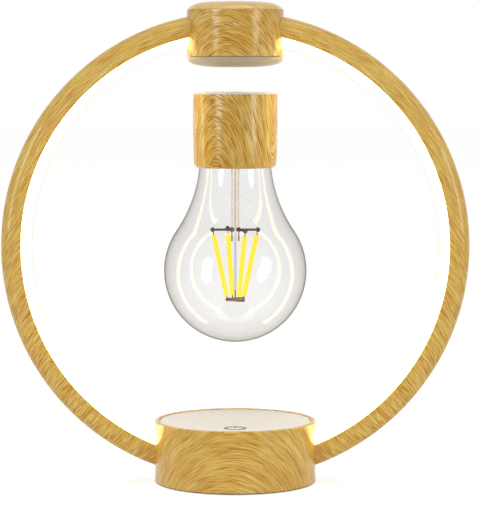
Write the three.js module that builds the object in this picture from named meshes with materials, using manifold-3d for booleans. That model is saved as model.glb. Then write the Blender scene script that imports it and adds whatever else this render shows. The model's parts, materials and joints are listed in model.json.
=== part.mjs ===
// Levitating lamp. A bulb with its own wooden cap floats, turns and glows under an electromagnet that is
// held in a round wooden hoop, and the hoop stands on a drum-shaped base with a touch mark on its top.
// Millimetres, +Z up. The front faces -Y, and the origin is the middle of the foot, on the table.
import * as THREE from "three";
import { mergeVertices, toCreasedNormals } from "three/addons/utils/BufferGeometryUtils.js";
import Module from "manifold-3d";

const wasm = await Module();
wasm.setup();

// Clearances
const fit = 0.3; // between pieces that are put together
const inlayFit = 0.1; // round an inlay or a wire in its eye
const cutOverrun = 1; // how far a cutting shape runs past what it cuts
const weldDistance = 0.001; // vertices closer than this are one

// The whole lamp, from the table upwards
const baseHeight = 26.6;
const bulbFloorGap = 33.45;
const bulbLength = 74.1;
const capHeight = 30.9;
const discRise = 1;
const floatGap = 10.25;
const dishDepth = 4.5;
const housingHeight = 23.3;
const housingRise = 4.6; // the housing stands this far above the hoop
const hoopFloorGap = 1.5; // the hoop, carried on through the base, would clear the table by this

// Base
const baseRadius = 34.3;
const baseWall = 2;
const heelRound = 0.5;
const rimRound = 0.5;
const heelGap = 0.4; // from the table to the shell, which stands on its pad
const panelThickness = 2.3;
const panelRecess = 0.3;
const panelGap = 0.15;
const panelRound = 0.3;
const ledgeWidth = 1.5;
const ledgeThickness = 1.5;
const padThickness = 1.3;
const padWidth = 6.6;
const padInset = 1.1;
const coverThickness = 2.4;
const coverGap = 0.5;
const bossRadius = 2.8;
const bossInset = 3.5;
const bossHeight = 9;
const ribThickness = 1.6;
const bossAngles = [-90, 50, 130];

// Screws of the base
const screwRadius = 1.1;
const screwHeadRadius = 2.1;
const screwHeadHeight = 1.1;
const screwLength = 8.5;
const screwSink = 0.3; // the head lies this far inside the cover
const socketRadius = 0.9;
const socketDepth = 0.7;

// Touch mark in the panel, with its sensor below
const markRadius = 4.75;
const markWidth = 0.9;
const markMargin = 5.05;
const markDepth = 0.5;
const markRise = 0.1;
const markBarWidth = 0.8;
const markBarLength = 2.6;
const electrodeRadius = 4.5;
const electrodeThickness = 0.4;
const foamRadius = 2;

// Control board, its parts and the power inlet
const boardThickness = 1.6;
const boardEdgeGap = 0.6;
const ballastRoom = 3.3; // from the ballast to the board, for the solder side
const riserRoom = 2.1; // beside the ballast, for the lead that comes out of a hoop arm
const postRadius = 2.2;
const postInset = 4.5;
const postAngles = [40, 140, 220, 320];
const pegRadius = 0.9;
const pegRise = 1.2;
const capacitorRadius = 3.2;
const capacitorHeight = 7;
const capacitorBevel = 0.4;
const inductorRadius = 5;
const inductorHoleRadius = 2.2;
const inductorHeight = 4.6;
const processorSide = 7;
const processorHeight = 1.2;
const transistorWidth = 6.5;
const transistorDepth = 2.3;
const transistorHeight = 7;
const jackWidth = 9.2;
const jackHeight = 7.8;
const jackDepth = 10.5;
const jackWallGap = 0.4;
const jackRoofGap = 0.6;
const jackNoseRadius = 3.9;
const jackBoreRadius = 3.1;
const jackRecess = 0.3;
const jackFloor = 1.2;
const jackPinRadius = 1.05;
const jackPinRecess = 1.4;
const tongueWidth = 14;
const tongueSetback = 1.7;
const boardPlaceShares = {
  firstCapacitor: [-0.66, 0.17],
  secondCapacitor: [-0.66, -0.17],
  inductor: [0.58, 0],
  processor: [0, 0],
  transistor: [0, 0.45],
}; // of the board's radius

// Hoop, made of two arms between the base and the housing
const hoopThickness = 8.7;
const hoopWidth = 16;
const hoopEdgeRound = 5;
const hoopLipRound = 0.6;
const hoopFloor = 3;
const hoopCheek = 1.8;
const tenonShoulder = 0.8; // from the hoop's inner and outer faces to those of the tenon
const baseTenonReach = 7.9;
const housingTenonReach = 4.65;
const tenonRoot = 1.8; // how far the solid tenon runs back into its hollow arm
const leadRadius = 0.7;
const leadInset = 2.2;
const leadSink = 0.6;
const grooveHalfWidth = 1;
const grooveDepth = 1.6;
const stripInset = 1.2;
const stripThickness = 0.5;
const chipLength = 3;
const chipWidth = 2.8;
const chipHeight = 1;
const diffuserBulge = 4.2;
const diffuserWall = 1.3;
const diffuserLegShare = 0.49; // of the depth of the channel

// Housing with the electromagnet
const housingRadius = 20.4;
const housingWall = 1.8;
const domeHeight = 3.8;
const domePower = 2.4; // 2 is an ellipse, and a higher power is squarer
const dishPower = 3;
const dishInset = 0.3;
const dishFloor = 1.5;
const dishLipHeight = 1.6;
const dishLipWall = 1.5;
const dishFloorInset = 5.2;
const sensorRadius = 5.6;
const sensorThickness = 0.8;
const transmitInner = 6.3;
const transmitThickness = 1.4;
const plateThickness = 1.8;
const plateScrewHeadRadius = 2;
const plateScrewHeadHeight = 1.3;
const plateScrewLength = 7;
const bobbinGap = 0.9;
const bobbinFlange = 1.2;
const bobbinWall = 1.1;
const coreRadius = 3.9;
const coilInset = 0.5;
const biasMagnetInset = 4.8;
const biasMagnetThickness = 4;
const biasMagnetRoof = 1.5;

// Bulb and its cap, which float as one
const bulbRadius = 30.25;
const neckRadius = 15;
const neckStraight = 2.5;
const neckInsertion = 8.1;
const glassWall = 0.8;
const collarWall = 0.5;
const capWall = 1.5;
const capFoot = 1.8;
const capRound = 1.5;
const discSeatWidth = 0.6;
const discThickness = 1.5;
const discEdgeRise = 0.55;
const rectifierThickness = 1.2;
const rectifierGap = 0.5;
const smoothingRadius = 4;
const smoothingFloorGap = 1.2;
const magnetRadius = 10;
const magnetThickness = 5;
const cupWall = 1;
const cupFloor = 1;
const cupRoof = 0.3;
const cupFlangeLift = 2.5;
const cupLegRoom = 4.4; // between the rectifier board and the cup
const cupLegRadius = 1.2;
const cupLegAngles = [30, 150, 270];
const receiverThickness = 1.8;

// Inside the bulb
const flareThickness = 1.2;
const flareTopGap = 0.3;
const flareWall = 1;
const pinchRadius = 2.2;
const pinchHeight = 2;
const pinchLift = 0.6; // above the underside of the cap
const rodRadius = 0.58;
const rodBottomDrop = 52.1; // drops are measured down from the underside of the cap
const leadWireRadius = 0.28;
const leadWireSpread = 1.45;
const hubTopDrop = 25.5;
const hubBottomDrop = 31.3;
const hubRadius = 0.65;
const crossDrop = 26.4;
const armRadius = 0.35;
const eyeRadius = 0.65;
const eyeWireRadius = 0.3;
const filamentTopDrop = 28.7;
const filamentBottomDrop = 54.6;
const filamentTopSpread = 9.1;
const filamentBottomSpread = 3.65;
const filamentRadius = 0.9;
const tabRadius = 0.22;
const tabRise = 0.9;
const ringDrop = 56.25;
const ringRadius = 3.8;
const ringWireRadius = 0.4;
const ringGap = 0.2;
const leftFilamentAngles = [180, 110];
const rightFilamentAngles = [0, -64];

// Facets
const hoopSides = 48;
const roundSides = 36;
const innerSides = 20;
const smallSides = 10;
const wireSides = 6;
const socketSides = 6;
const roundSteps = 3;
const lipSteps = 1;
const bulgeSteps = 6;
const dishSteps = 5;
const domeSteps = 5;
const discSteps = 4;
const bulbLowerSteps = 6;
const bulbUpperSteps = 3;
const bendSteps = 4;

// Levels and radii that follow from the sizes above
const capBottom = baseHeight + bulbFloorGap + bulbLength;
const dishBottom = capBottom + capHeight + discRise + floatGap;
const housingBottom = dishBottom + dishDepth;
const hoopTop = housingBottom + housingHeight - housingRise;
const hoopRadius = (hoopTop - hoopFloorGap) / 2;
const hoopCentre = hoopFloorGap + hoopRadius;

const baseInner = baseRadius - baseWall;
const ledgeInner = baseInner - ledgeWidth;
const panelTop = baseHeight - panelRecess;
const ledgeTop = panelTop - panelThickness;
const ledgeBottom = ledgeTop - ledgeThickness;
const panelRadius = baseInner - panelGap;
const coverTop = padThickness + coverThickness;
const coverRadius = baseInner - coverGap;
const padRadius = baseInner - padInset;
const bossRing = baseInner - bossInset;
const screwSeat = padThickness + screwSink + screwHeadHeight;
const screwHole = screwRadius + fit;
const boardTop = ledgeBottom - jackRoofGap - jackHeight;
const boardBottom = boardTop - boardThickness;
const boardRadius = bossRing - bossRadius - fit;
const baseTenonX = baseInner - baseTenonReach;
const boardHalfWidth = baseTenonX - boardEdgeGap;
const baseScrewX = baseInner - baseTenonReach / 2;
const ballastRadius = baseTenonX - riserRoom;
const ballastTop = boardBottom - ballastRoom;
const postRing = ballastRadius - postInset;
const jackAxis = boardTop + jackHeight / 2;
const jackFront = Math.sqrt(baseInner ** 2 - (jackWidth / 2) ** 2) - jackWallGap;
const jackBack = jackFront - jackDepth;
const markY = -(panelRadius - markRadius - markMargin);
const markBottom = panelTop - markDepth;
const electrodeBottom = ledgeTop - electrodeThickness;

const hoopInner = hoopRadius - hoopThickness;
const hoopHalf = hoopWidth / 2;
const channelFloor = hoopRadius - hoopFloor;
const channelHalf = hoopHalf - hoopCheek;
const tenonInner = hoopInner + tenonShoulder;
const tenonOuter = hoopRadius - tenonShoulder;
const leadRing = channelFloor + leadSink;
const leadY = channelHalf - leadInset;
const legEnd = hoopInner + diffuserLegShare * (channelFloor - hoopInner);
const diffuserHalf = channelHalf - fit;

// The housing's own levels count from its lower edge.
const housingCentre = hoopCentre - housingBottom; // of the hoop
const housingInner = housingRadius - housingWall;
const creaseLevel = housingHeight - domeHeight;
const housingTenonX = housingInner - housingTenonReach;
const dishTop = -dishDepth + dishFloor;
const dishFloorRadius = housingRadius - dishFloorInset;
const dishLipRadius = housingInner - fit;
const bobbinBottom = dishTop + transmitThickness;
const bobbinTop = creaseLevel - biasMagnetRoof - biasMagnetThickness;
const bobbinRadius = housingTenonX - bobbinGap;
const bobbinTube = coreRadius + fit + bobbinWall;
const plateTop = housingCentre + Math.sqrt(tenonInner ** 2 - housingInner ** 2) - 2 * fit;
const plateInner = housingTenonX - fit;
const plateOuter = housingInner - fit;
const plateScrewX = (plateInner + plateOuter) / 2;
const plateBottom = plateTop - plateThickness;
const leadEndX = bobbinRadius - 2 * leadRadius;

// The floating unit's own levels count from the underside of the cap.
const bulbCentre = bulbRadius - bulbLength;
const neckBend = neckInsertion - neckStraight;
const bendRise = neckBend - bulbCentre;
const bendRadius =
  (neckRadius ** 2 + bendRise ** 2 - bulbRadius ** 2) / (2 * (bulbRadius - neckRadius));
const mouthRadius = neckRadius + bendRadius - Math.sqrt(bendRadius ** 2 - neckBend ** 2) + fit;
const capInner = mouthRadius + collarWall + fit;
const capRadius = capInner + capWall;
const discSeat = capHeight - discThickness;
const cupTop = discSeat - cupRoof;
const magnetBottom = cupTop - fit - magnetThickness;
const cupBottom = magnetBottom - cupFloor;
const cupInner = magnetRadius + fit;
const cupOuter = cupInner + cupWall;
const flangeRadius = capInner - fit;
const flangeBottom = cupBottom + cupFlangeLift;
const flangeTop = flangeBottom + cupFloor;
const rectifierTop = cupBottom - cupLegRoom;
const collarTop = rectifierTop - rectifierThickness;

// Finishes
const finish = (color, roughness, metalness = 0) =>
  new THREE.MeshStandardMaterial({ color, roughness, metalness });
const wood = finish(0xcda453, 0.5);
const whitePlastic = finish(0xf0eae0, 0.4);
const greyPlastic = finish(0xa59880, 0.45);
const diffuserPlastic = finish(0xfdfcfb, 0.5);
const rubber = finish(0x2b2a29, 0.9);
const steel = finish(0x9a9a98, 0.35, 1);
const zinc = finish(0xbdbab0, 0.4, 1);
const greenBoard = finish(0x1f5a3a, 0.6);
const blackPlastic = finish(0x1c1c1e, 0.5);
const aluminium = finish(0xc2c4c6, 0.35, 1);
const copper = finish(0xb8703a, 0.35, 1);
const whiteCord = finish(0xe6e1d6, 0.6);
const foam = finish(0x4a4a4c, 0.95);
const clearGlass = new THREE.MeshStandardMaterial({
  color: 0xe6e4e0,
  roughness: 0.05,
  transparent: true,
  opacity: 0.35,
});
const nickelWire = finish(0x6a5534, 0.4, 1);
const filamentYellow = new THREE.MeshStandardMaterial({
  color: 0xffe830,
  roughness: 0.5,
  emissive: 0xffe020,
});

// A closed geometry as a solid that can be joined and cut, and back.
function solidOf(shape) {
  if (!shape.isBufferGeometry) return shape;
  const plain = shape.index ? shape.toNonIndexed() : shape;
  const bare = new THREE.BufferGeometry().setAttribute("position", plain.getAttribute("position"));
  const merged = mergeVertices(bare, weldDistance);
  const vertProperties = merged.attributes.position.array;
  const triVerts = new Uint32Array(merged.index.array);
  return new wasm.Manifold(new wasm.Mesh({ numProp: 3, vertProperties, triVerts }));
}

function geometryOf(shape) {
  if (shape.isBufferGeometry) return shape;
  const { vertProperties, triVerts } = shape.getMesh();
  const geometry = new THREE.BufferGeometry()
    .setAttribute("position", new THREE.BufferAttribute(new Float32Array(vertProperties), 3))
    .setIndex(new THREE.BufferAttribute(new Uint32Array(triVerts), 1));
  return toCreasedNormals(geometry, Math.PI / 6);
}

const joined = (first, ...others) =>
  others.reduce((sum, shape) => sum.add(solidOf(shape)), solidOf(first));
const cut = (first, ...cutters) =>
  cutters.reduce((rest, shape) => rest.subtract(solidOf(shape)), solidOf(first));
const shared = (first, second) => solidOf(first).intersect(solidOf(second));

// Points of an arc in a profile, with its angles in degrees from the outward direction.
function arc(r, z, across, up, from, to, steps = roundSteps) {
  return Array.from({ length: steps + 1 }, (_, i) => {
    const angle = THREE.MathUtils.degToRad(from + ((to - from) * i) / steps);
    return [r + across * Math.cos(angle), z + up * Math.sin(angle)];
  });
}

// A profile of [radius, height] points turned about its height axis. It closes on itself, or on the axis.
function spun(profile, sides) {
  const points = profile.map(([r, z]) => new THREE.Vector2(r, z));
  if (THREE.ShapeUtils.area(points) < 0) points.reverse();
  if (points[0].x > 0) points.push(points[0].clone());
  return new THREE.LatheGeometry(points, sides);
}

const turned = (profile, sides = roundSides) => spun(profile, sides).rotateX(Math.PI / 2);
const hooped = (profile) => spun(profile, hoopSides);
const oblong = (inner, outer, bottom, top) => [
  [inner, bottom],
  [outer, bottom],
  [outer, top],
  [inner, top],
];
const drum = (radius, bottom, top, sides) => turned(oblong(0, radius, bottom, top), sides);
const ring = (inner, outer, bottom, top, sides) => turned(oblong(inner, outer, bottom, top), sides);

// A box by its lowest and highest corners.
function block(low, high) {
  const size = high.map((value, i) => value - low[i]);
  const middle = high.map((value, i) => (value + low[i]) / 2);
  return new THREE.BoxGeometry(...size).translate(...middle);
}

// A round bar from one point to another.
function bar(from, to, radius, sides = wireSides) {
  const start = new THREE.Vector3(...from);
  const end = new THREE.Vector3(...to);
  const way = end.clone().sub(start);
  const turn = new THREE.Quaternion().setFromUnitVectors(
    new THREE.Vector3(0, 1, 0),
    way.clone().normalize(),
  );
  const middle = start.add(end).multiplyScalar(0.5);
  return new THREE.CylinderGeometry(radius, radius, way.length(), sides)
    .applyQuaternion(turn)
    .translate(middle.x, middle.y, middle.z);
}

// The points of a circle in a profile.
const circle = (r, z, radius, sides) => arc(r, z, radius, radius, 0, 360 - 360 / sides, sides - 1);

// A point at a radius, an angle in degrees and a height.
function around(radius, degrees, height) {
  const angle = THREE.MathUtils.degToRad(degrees);
  return [radius * Math.cos(angle), radius * Math.sin(angle), height];
}

function part(group, name, shape, material, place = [0, 0, 0]) {
  const mesh = new THREE.Mesh(geometryOf(shape), material);
  mesh.name = name;
  mesh.position.set(...place);
  group.add(mesh);
}

// The hoop, whose own heights count from its middle

// What lies on one side of the hoop's plane, past the given distances from the middle, below and above.
// The lower half runs into the upper one, where the hoop is further out than either distance.
function sideOf(side, lowX, highX) {
  const reach = hoopRadius + cutOverrun;
  const halves = [
    [lowX, -reach, cutOverrun],
    [highX, 0, reach],
  ].map(([x, low, high]) =>
    block(
      [Math.min(side * x, side * reach), -hoopWidth, low],
      [Math.max(side * x, side * reach), hoopWidth, high],
    ),
  );
  return joined(...halves);
}

// Upright drums where the base and the housing are, larger by a gap.
const baseSpace = (gap) => drum(baseRadius + gap, -hoopCentre, baseHeight - hoopCentre);
const housingSpace = (gap) => drum(housingRadius + gap, -housingCentre - gap, hoopCentre);

// The space that the tenons of one arm take with their clearance.
const tenonSpace = (side) =>
  shared(
    hooped(oblong(tenonInner - fit, tenonOuter + fit, -channelHalf - fit, channelHalf + fit)),
    sideOf(side, baseTenonX - fit, housingTenonX - fit),
  );

// The wood's section: two rounded outer edges, two lips, and a channel with a groove for the lead.
function armSection() {
  const edge = (sign, from, to) =>
    arc(
      hoopRadius - hoopEdgeRound,
      sign * (hoopHalf - hoopEdgeRound),
      hoopEdgeRound,
      hoopEdgeRound,
      from,
      to,
    );
  const lip = (sign, from, to) =>
    arc(
      hoopInner + hoopLipRound,
      sign * (hoopHalf - hoopLipRound),
      hoopLipRound,
      hoopLipRound,
      from,
      to,
      lipSteps,
    );
  const channel = [
    [hoopInner, channelHalf],
    [channelFloor, channelHalf],
    [channelFloor, leadY + grooveHalfWidth],
    [channelFloor + grooveDepth, leadY + grooveHalfWidth],
    [channelFloor + grooveDepth, leadY - grooveHalfWidth],
    [channelFloor, leadY - grooveHalfWidth],
    [channelFloor, -channelHalf],
    [hoopInner, -channelHalf],
  ];
  return [...edge(-1, -90, 0), ...edge(1, 0, 90), ...lip(1, 90, 180), ...channel, ...lip(-1, 180, 270)];
}

// A tenon at each end of an arm. Outside the shells it leaves room for the diffuser.
function tenons(side) {
  const diffuserRoom = cut(
    hooped(oblong(tenonInner - cutOverrun, legEnd + fit, -hoopHalf, hoopHalf)),
    baseSpace(0),
    housingSpace(0),
  );
  const tongue = hooped(oblong(tenonInner, tenonOuter, -channelHalf, channelHalf));
  return cut(
    shared(tongue, sideOf(side, baseTenonX, housingTenonX)),
    diffuserRoom,
    sideOf(side, baseRadius + tenonRoot, housingRadius + tenonRoot),
  );
}

function hoopArm(side) {
  const trough = shared(hooped(armSection()), sideOf(side, 0, 0));
  const arm = cut(trough, baseSpace(fit), housingSpace(fit));
  const tunnel = hooped(circle(leadRing, leadY, leadRadius + fit, wireSides));
  const baseHole = drum(screwHole, -hoopRadius, baseHeight - hoopCentre, smallSides);
  const plateHole = drum(screwHole, 0, hoopRadius - hoopFloor, smallSides);
  return cut(
    joined(arm, tenons(side)),
    tunnel,
    baseHole.translate(side * baseScrewX, 0, 0),
    plateHole.translate(side * plateScrewX, 0, 0),
  );
}

// The tape with its light chips, one on every other facet between the tenons.
function lightStrip(side) {
  const front = channelFloor - fit - stripThickness;
  const half = channelHalf - stripInset;
  const lowX = baseRadius + tenonRoot + fit;
  const highX = housingRadius + tenonRoot + fit;
  const tape = shared(
    hooped(oblong(front, front + stripThickness, -half, half)),
    sideOf(side, lowX, highX),
  );
  const facet = 360 / hoopSides;
  const seat = front * Math.cos(Math.PI / hoopSides);
  const lowest = -THREE.MathUtils.radToDeg(Math.acos((lowX + chipLength) / front));
  const highest = THREE.MathUtils.radToDeg(Math.acos((highX + chipLength) / front));
  const chips = [];
  for (let n = Math.ceil(lowest / facet - 0.5); (n + 0.5) * facet < highest; n += 2) {
    const angle = (n + 0.5) * facet;
    const chip = block(
      [seat - chipHeight, -chipWidth / 2, -chipLength / 2],
      [seat + stripThickness / 2, chipWidth / 2, chipLength / 2],
    );
    chips.push(chip.rotateY(-THREE.MathUtils.degToRad(side > 0 ? angle : 180 - angle)));
  }
  return joined(tape, ...chips);
}

function diffuser(side) {
  const bulge = (inset, from, to) =>
    arc(hoopInner, 0, diffuserBulge - inset, diffuserHalf - inset, from, to, bulgeSteps);
  const shell = hooped([
    [legEnd, diffuserHalf],
    ...bulge(0, 90, 270),
    [legEnd, -diffuserHalf],
    [legEnd, diffuserWall - diffuserHalf],
    ...bulge(diffuserWall, 270, 90),
    [legEnd, diffuserHalf - diffuserWall],
  ]);
  return cut(shared(shell, sideOf(side, 0, 0)), baseSpace(fit), housingSpace(fit));
}

// The lead comes up from the board, follows its groove and comes down on the coil's bobbin.
function armLead(side) {
  const lowX = boardHalfWidth - leadRadius;
  const level = (x) => Math.sqrt(leadRing ** 2 - x ** 2);
  const cord = shared(
    hooped(circle(leadRing, leadY, leadRadius, wireSides)),
    sideOf(side, lowX, leadEndX),
  );
  const end = (x, from, to) => [
    bar([side * x, leadY, from], [side * x, leadY, to], leadRadius),
    new THREE.SphereGeometry(leadRadius, wireSides, wireSides / 2).translate(side * x, leadY, from),
  ];
  return joined(
    cord,
    ...end(lowX, -level(lowX), boardBottom - hoopCentre - fit),
    ...end(leadEndX, level(leadEndX), bobbinTop - housingCentre + fit),
  );
}

function hoop() {
  const group = new THREE.Group();
  for (const [name, side] of [
    ["left", -1],
    ["right", 1],
  ]) {
    part(group, `hoop_arm_${name}`, hoopArm(side), wood);
    part(group, `light_strip_${name}`, lightStrip(side), greenBoard);
    part(group, `diffuser_${name}`, diffuser(side), diffuserPlastic);
    part(group, `arm_lead_${name}`, armLead(side), whiteCord);
  }
  group.position.z = hoopCentre;
  return group;
}

// The base

// Copies of an upright shape, one at each place.
const placed = (places, shape) => places.map(([x, y]) => shape.clone().translate(x, y, 0));

const bossPlaces = bossAngles.map((angle) => around(bossRing, angle, 0));
const postPlaces = postAngles.map((angle) => around(postRing, angle, 0));
const screwPlaces = [...bossPlaces, [-baseScrewX, 0], [baseScrewX, 0]];
const tenonsInBase = () => [-1, 1].map((side) => tenonSpace(side).translate([0, 0, hoopCentre]));

function baseShell() {
  const wall = turned([
    [baseInner, heelGap],
    ...arc(baseRadius - heelRound, heelGap + heelRound, heelRound, heelRound, -90, 0),
    ...arc(baseRadius - rimRound, baseHeight - rimRound, rimRound, rimRound, 0, 90),
    [baseInner, baseHeight],
    [baseInner, ledgeTop],
    [ledgeInner, ledgeTop],
    [ledgeInner, ledgeBottom],
    [baseInner, ledgeBottom],
  ]);
  const bossTop = coverTop + bossHeight;
  const bosses = placed(bossPlaces, drum(bossRadius, coverTop, bossTop, smallSides));
  const ribs = bossAngles.map((angle) =>
    block(
      [bossRing, -ribThickness / 2, coverTop],
      [baseInner + baseWall / 2, ribThickness / 2, bossTop],
    ).rotateZ(THREE.MathUtils.degToRad(angle)),
  );
  const pilots = placed(bossPlaces, drum(screwHole, 0, bossTop + cutOverrun, smallSides));
  const inlet = bar(
    [0, baseInner - baseWall, jackAxis],
    [0, baseRadius + cutOverrun, jackAxis],
    jackNoseRadius + fit,
    innerSides,
  );
  return cut(joined(wall, ...bosses, ...ribs), ...pilots, inlet, ...tenonsInBase());
}

// A ring with a short stroke that points from its far side to its middle.
function touchMark(spread, top) {
  const inner = markRadius - markWidth;
  const strokeHalf = markBarWidth / 2 + spread;
  const stroke = block(
    [-strokeHalf, inner - markBarLength - spread, markBottom],
    [strokeHalf, inner + markWidth / 2, top],
  );
  return joined(
    ring(inner - spread, markRadius + spread, markBottom, top, innerSides),
    stroke,
  ).translate([0, markY, 0]);
}

function topPanel() {
  const plate = turned([
    [0, ledgeTop],
    [panelRadius, ledgeTop],
    ...arc(panelRadius - panelRound, panelTop - panelRound, panelRound, panelRound, 0, 90),
    [0, panelTop],
  ]);
  return cut(plate, touchMark(inlayFit, panelTop + cutOverrun));
}

// The cover carries the board on four posts and the arms on two saddles.
function bottomCover() {
  const posts = placed(postPlaces, drum(postRadius, padThickness, boardBottom, smallSides));
  const pegs = placed(postPlaces, drum(pegRadius, padThickness, boardTop + pegRise, smallSides));
  const saddles = [-1, 1].map((side) =>
    cut(
      block(
        [Math.min(side * baseTenonX, side * padRadius), -channelHalf, padThickness],
        [Math.max(side * baseTenonX, side * padRadius), channelHalf, boardBottom],
      ),
      hooped(oblong(0, tenonOuter + fit, -hoopHalf, hoopHalf)).translate(0, 0, hoopCentre),
    ),
  );
  const holes = placed(screwPlaces, drum(screwHole, 0, baseHeight, smallSides));
  const sinks = placed(screwPlaces, drum(screwHeadRadius + fit, 0, screwSeat, smallSides));
  return cut(
    joined(drum(coverRadius, padThickness, coverTop), ...posts, ...pegs, ...saddles),
    ...holes,
    ...sinks,
    ...tenonsInBase(),
  );
}

// A screw, seated at height zero with its head below, and a hex socket in the head.
function screw(radius, length, headRadius, headHeight) {
  const body = turned(
    [
      [0, -headHeight],
      [headRadius, -headHeight],
      [headRadius, 0],
      [radius, 0],
      [radius, length],
      [0, length],
    ],
    smallSides,
  );
  return cut(body, drum(socketRadius, -headHeight - cutOverrun, socketDepth - headHeight, socketSides));
}

function ballastPlate() {
  const holes = placed(postPlaces, drum(postRadius + fit, 0, boardTop, smallSides));
  return cut(drum(ballastRadius, coverTop, ballastTop), ...holes);
}

function controlBoard() {
  const disc = shared(
    drum(boardRadius, boardBottom, boardTop),
    block([-boardHalfWidth, -boardRadius, 0], [boardHalfWidth, boardRadius, baseHeight]),
  );
  const tongue = block(
    [-tongueWidth / 2, 0, boardBottom],
    [tongueWidth / 2, jackFront - tongueSetback, boardTop],
  );
  const holes = placed(postPlaces, drum(pegRadius + fit, 0, baseHeight, smallSides));
  return cut(joined(disc, tongue), ...holes);
}

function capacitor() {
  const top = boardTop + capacitorHeight;
  return turned(
    [
      [0, boardTop],
      [capacitorRadius, boardTop],
      [capacitorRadius, top - capacitorBevel],
      [capacitorRadius - capacitorBevel, top],
      [0, top],
    ],
    smallSides,
  );
}

const chipOnBoard = (width, depth, height) =>
  block([-width / 2, -depth / 2, boardTop], [width / 2, depth / 2, boardTop + height]);

function jackBody() {
  const noseEnd = baseRadius - jackRecess;
  const along = (from, to, radius) =>
    bar([0, from, jackAxis], [0, to, jackAxis], radius, innerSides);
  const body = block(
    [-jackWidth / 2, jackBack, boardTop],
    [jackWidth / 2, jackFront, boardTop + jackHeight],
  );
  const nose = along(jackBack + jackDepth / 2, noseEnd, jackNoseRadius);
  const bore = along(jackBack + jackFloor, noseEnd + cutOverrun, jackBoreRadius);
  return cut(joined(body, nose), bore);
}

const jackPin = () =>
  bar(
    [0, jackBack + jackFloor, jackAxis],
    [0, baseRadius - jackRecess - jackPinRecess, jackAxis],
    jackPinRadius,
    smallSides,
  );

function base() {
  const group = new THREE.Group();
  part(group, "base_shell", baseShell(), wood);
  part(group, "base_top_panel", topPanel(), whitePlastic);
  part(group, "touch_mark", touchMark(0, panelTop + markRise), zinc);
  const electrode = drum(electrodeRadius, electrodeBottom, ledgeTop, innerSides);
  part(group, "touch_electrode", electrode.translate(0, markY, 0), copper);
  const post = drum(foamRadius, boardTop, electrodeBottom, smallSides);
  part(group, "touch_foam", post.translate(0, markY, 0), foam);
  part(group, "bottom_cover", bottomCover(), blackPlastic);
  part(group, "foot_pad", ring(padRadius - padWidth, padRadius, 0, padThickness), rubber);

  const coverScrews = bossPlaces.map((_, i) => `cover_screw_${i + 1}`);
  [...coverScrews, "arm_screw_left", "arm_screw_right"].forEach((name, i) => {
    const [x, y] = screwPlaces[i];
    const oneScrew = screw(screwRadius, screwLength, screwHeadRadius, screwHeadHeight);
    part(group, name, oneScrew, steel, [x, y, screwSeat]);
  });

  part(group, "ballast_plate", ballastPlate(), steel);
  part(group, "control_board", controlBoard(), greenBoard);
  const onBoard = (name, shape, material, [xShare, yShare]) =>
    part(group, name, shape, material, [xShare * boardRadius, yShare * boardRadius, 0]);
  onBoard("board_capacitor_1", capacitor(), aluminium, boardPlaceShares.firstCapacitor);
  onBoard("board_capacitor_2", capacitor(), aluminium, boardPlaceShares.secondCapacitor);
  const inductor = ring(
    inductorHoleRadius,
    inductorRadius,
    boardTop,
    boardTop + inductorHeight,
    smallSides,
  );
  onBoard("board_inductor", inductor, copper, boardPlaceShares.inductor);
  const processor = chipOnBoard(processorSide, processorSide, processorHeight);
  onBoard("board_processor", processor, blackPlastic, boardPlaceShares.processor);
  const transistor = chipOnBoard(transistorWidth, transistorDepth, transistorHeight);
  onBoard("board_power_transistor", transistor, blackPlastic, boardPlaceShares.transistor);
  part(group, "dc_jack_body", jackBody(), blackPlastic);
  part(group, "dc_jack_pin", jackPin(), zinc);
  return group;
}

// The housing, whose own heights count from its lower edge

// A profile that runs from a radius at a level to the axis as a squared-off ellipse.
function squaredOff(radius, level, height, power, steps) {
  const share = 2 / power;
  return Array.from({ length: steps + 1 }, (_, i) => {
    const angle = (Math.PI / 2) * (i / steps);
    const across = i === steps ? 0 : radius * Math.cos(angle) ** share;
    return [across, level + height * Math.sin(angle) ** share];
  });
}

function housingShell() {
  const dome = (radius, height) => squaredOff(radius, creaseLevel, height, domePower, domeSteps);
  const inside = dome(housingInner, domeHeight - housingWall).reverse();
  const outside = dome(housingRadius, domeHeight);
  const shell = turned([...inside, [housingInner, 0], [housingRadius, 0], ...outside]);
  const openings = [-1, 1].map((side) => tenonSpace(side).translate([0, 0, housingCentre]));
  return cut(shell, ...openings);
}

function housingCover() {
  const dish = squaredOff(housingRadius - dishInset, 0, -dishDepth, dishPower, dishSteps);
  return turned([
    ...dish.reverse(),
    [dishLipRadius, 0],
    [dishLipRadius, dishLipHeight],
    [dishLipRadius - dishLipWall, dishLipHeight],
    [dishFloorRadius, dishTop],
    [0, dishTop],
  ]);
}

function coilBobbin() {
  const bore = coreRadius + fit;
  return turned(
    [
      [bore, bobbinBottom],
      [bobbinRadius, bobbinBottom],
      [bobbinRadius, bobbinBottom + bobbinFlange],
      [bobbinTube, bobbinBottom + bobbinFlange],
      [bobbinTube, bobbinTop - bobbinFlange],
      [bobbinRadius, bobbinTop - bobbinFlange],
      [bobbinRadius, bobbinTop],
      [bore, bobbinTop],
    ],
    innerSides,
  );
}

// The plate that ties the two arms together above the coil's middle.
function armPlate() {
  const hole = drum(screwHole, plateBottom - cutOverrun, plateTop + cutOverrun, smallSides);
  return cut(
    ring(plateInner, plateOuter, plateBottom, plateTop, innerSides),
    ...placed(
      [
        [-plateScrewX, 0],
        [plateScrewX, 0],
      ],
      hole,
    ),
  );
}

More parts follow.
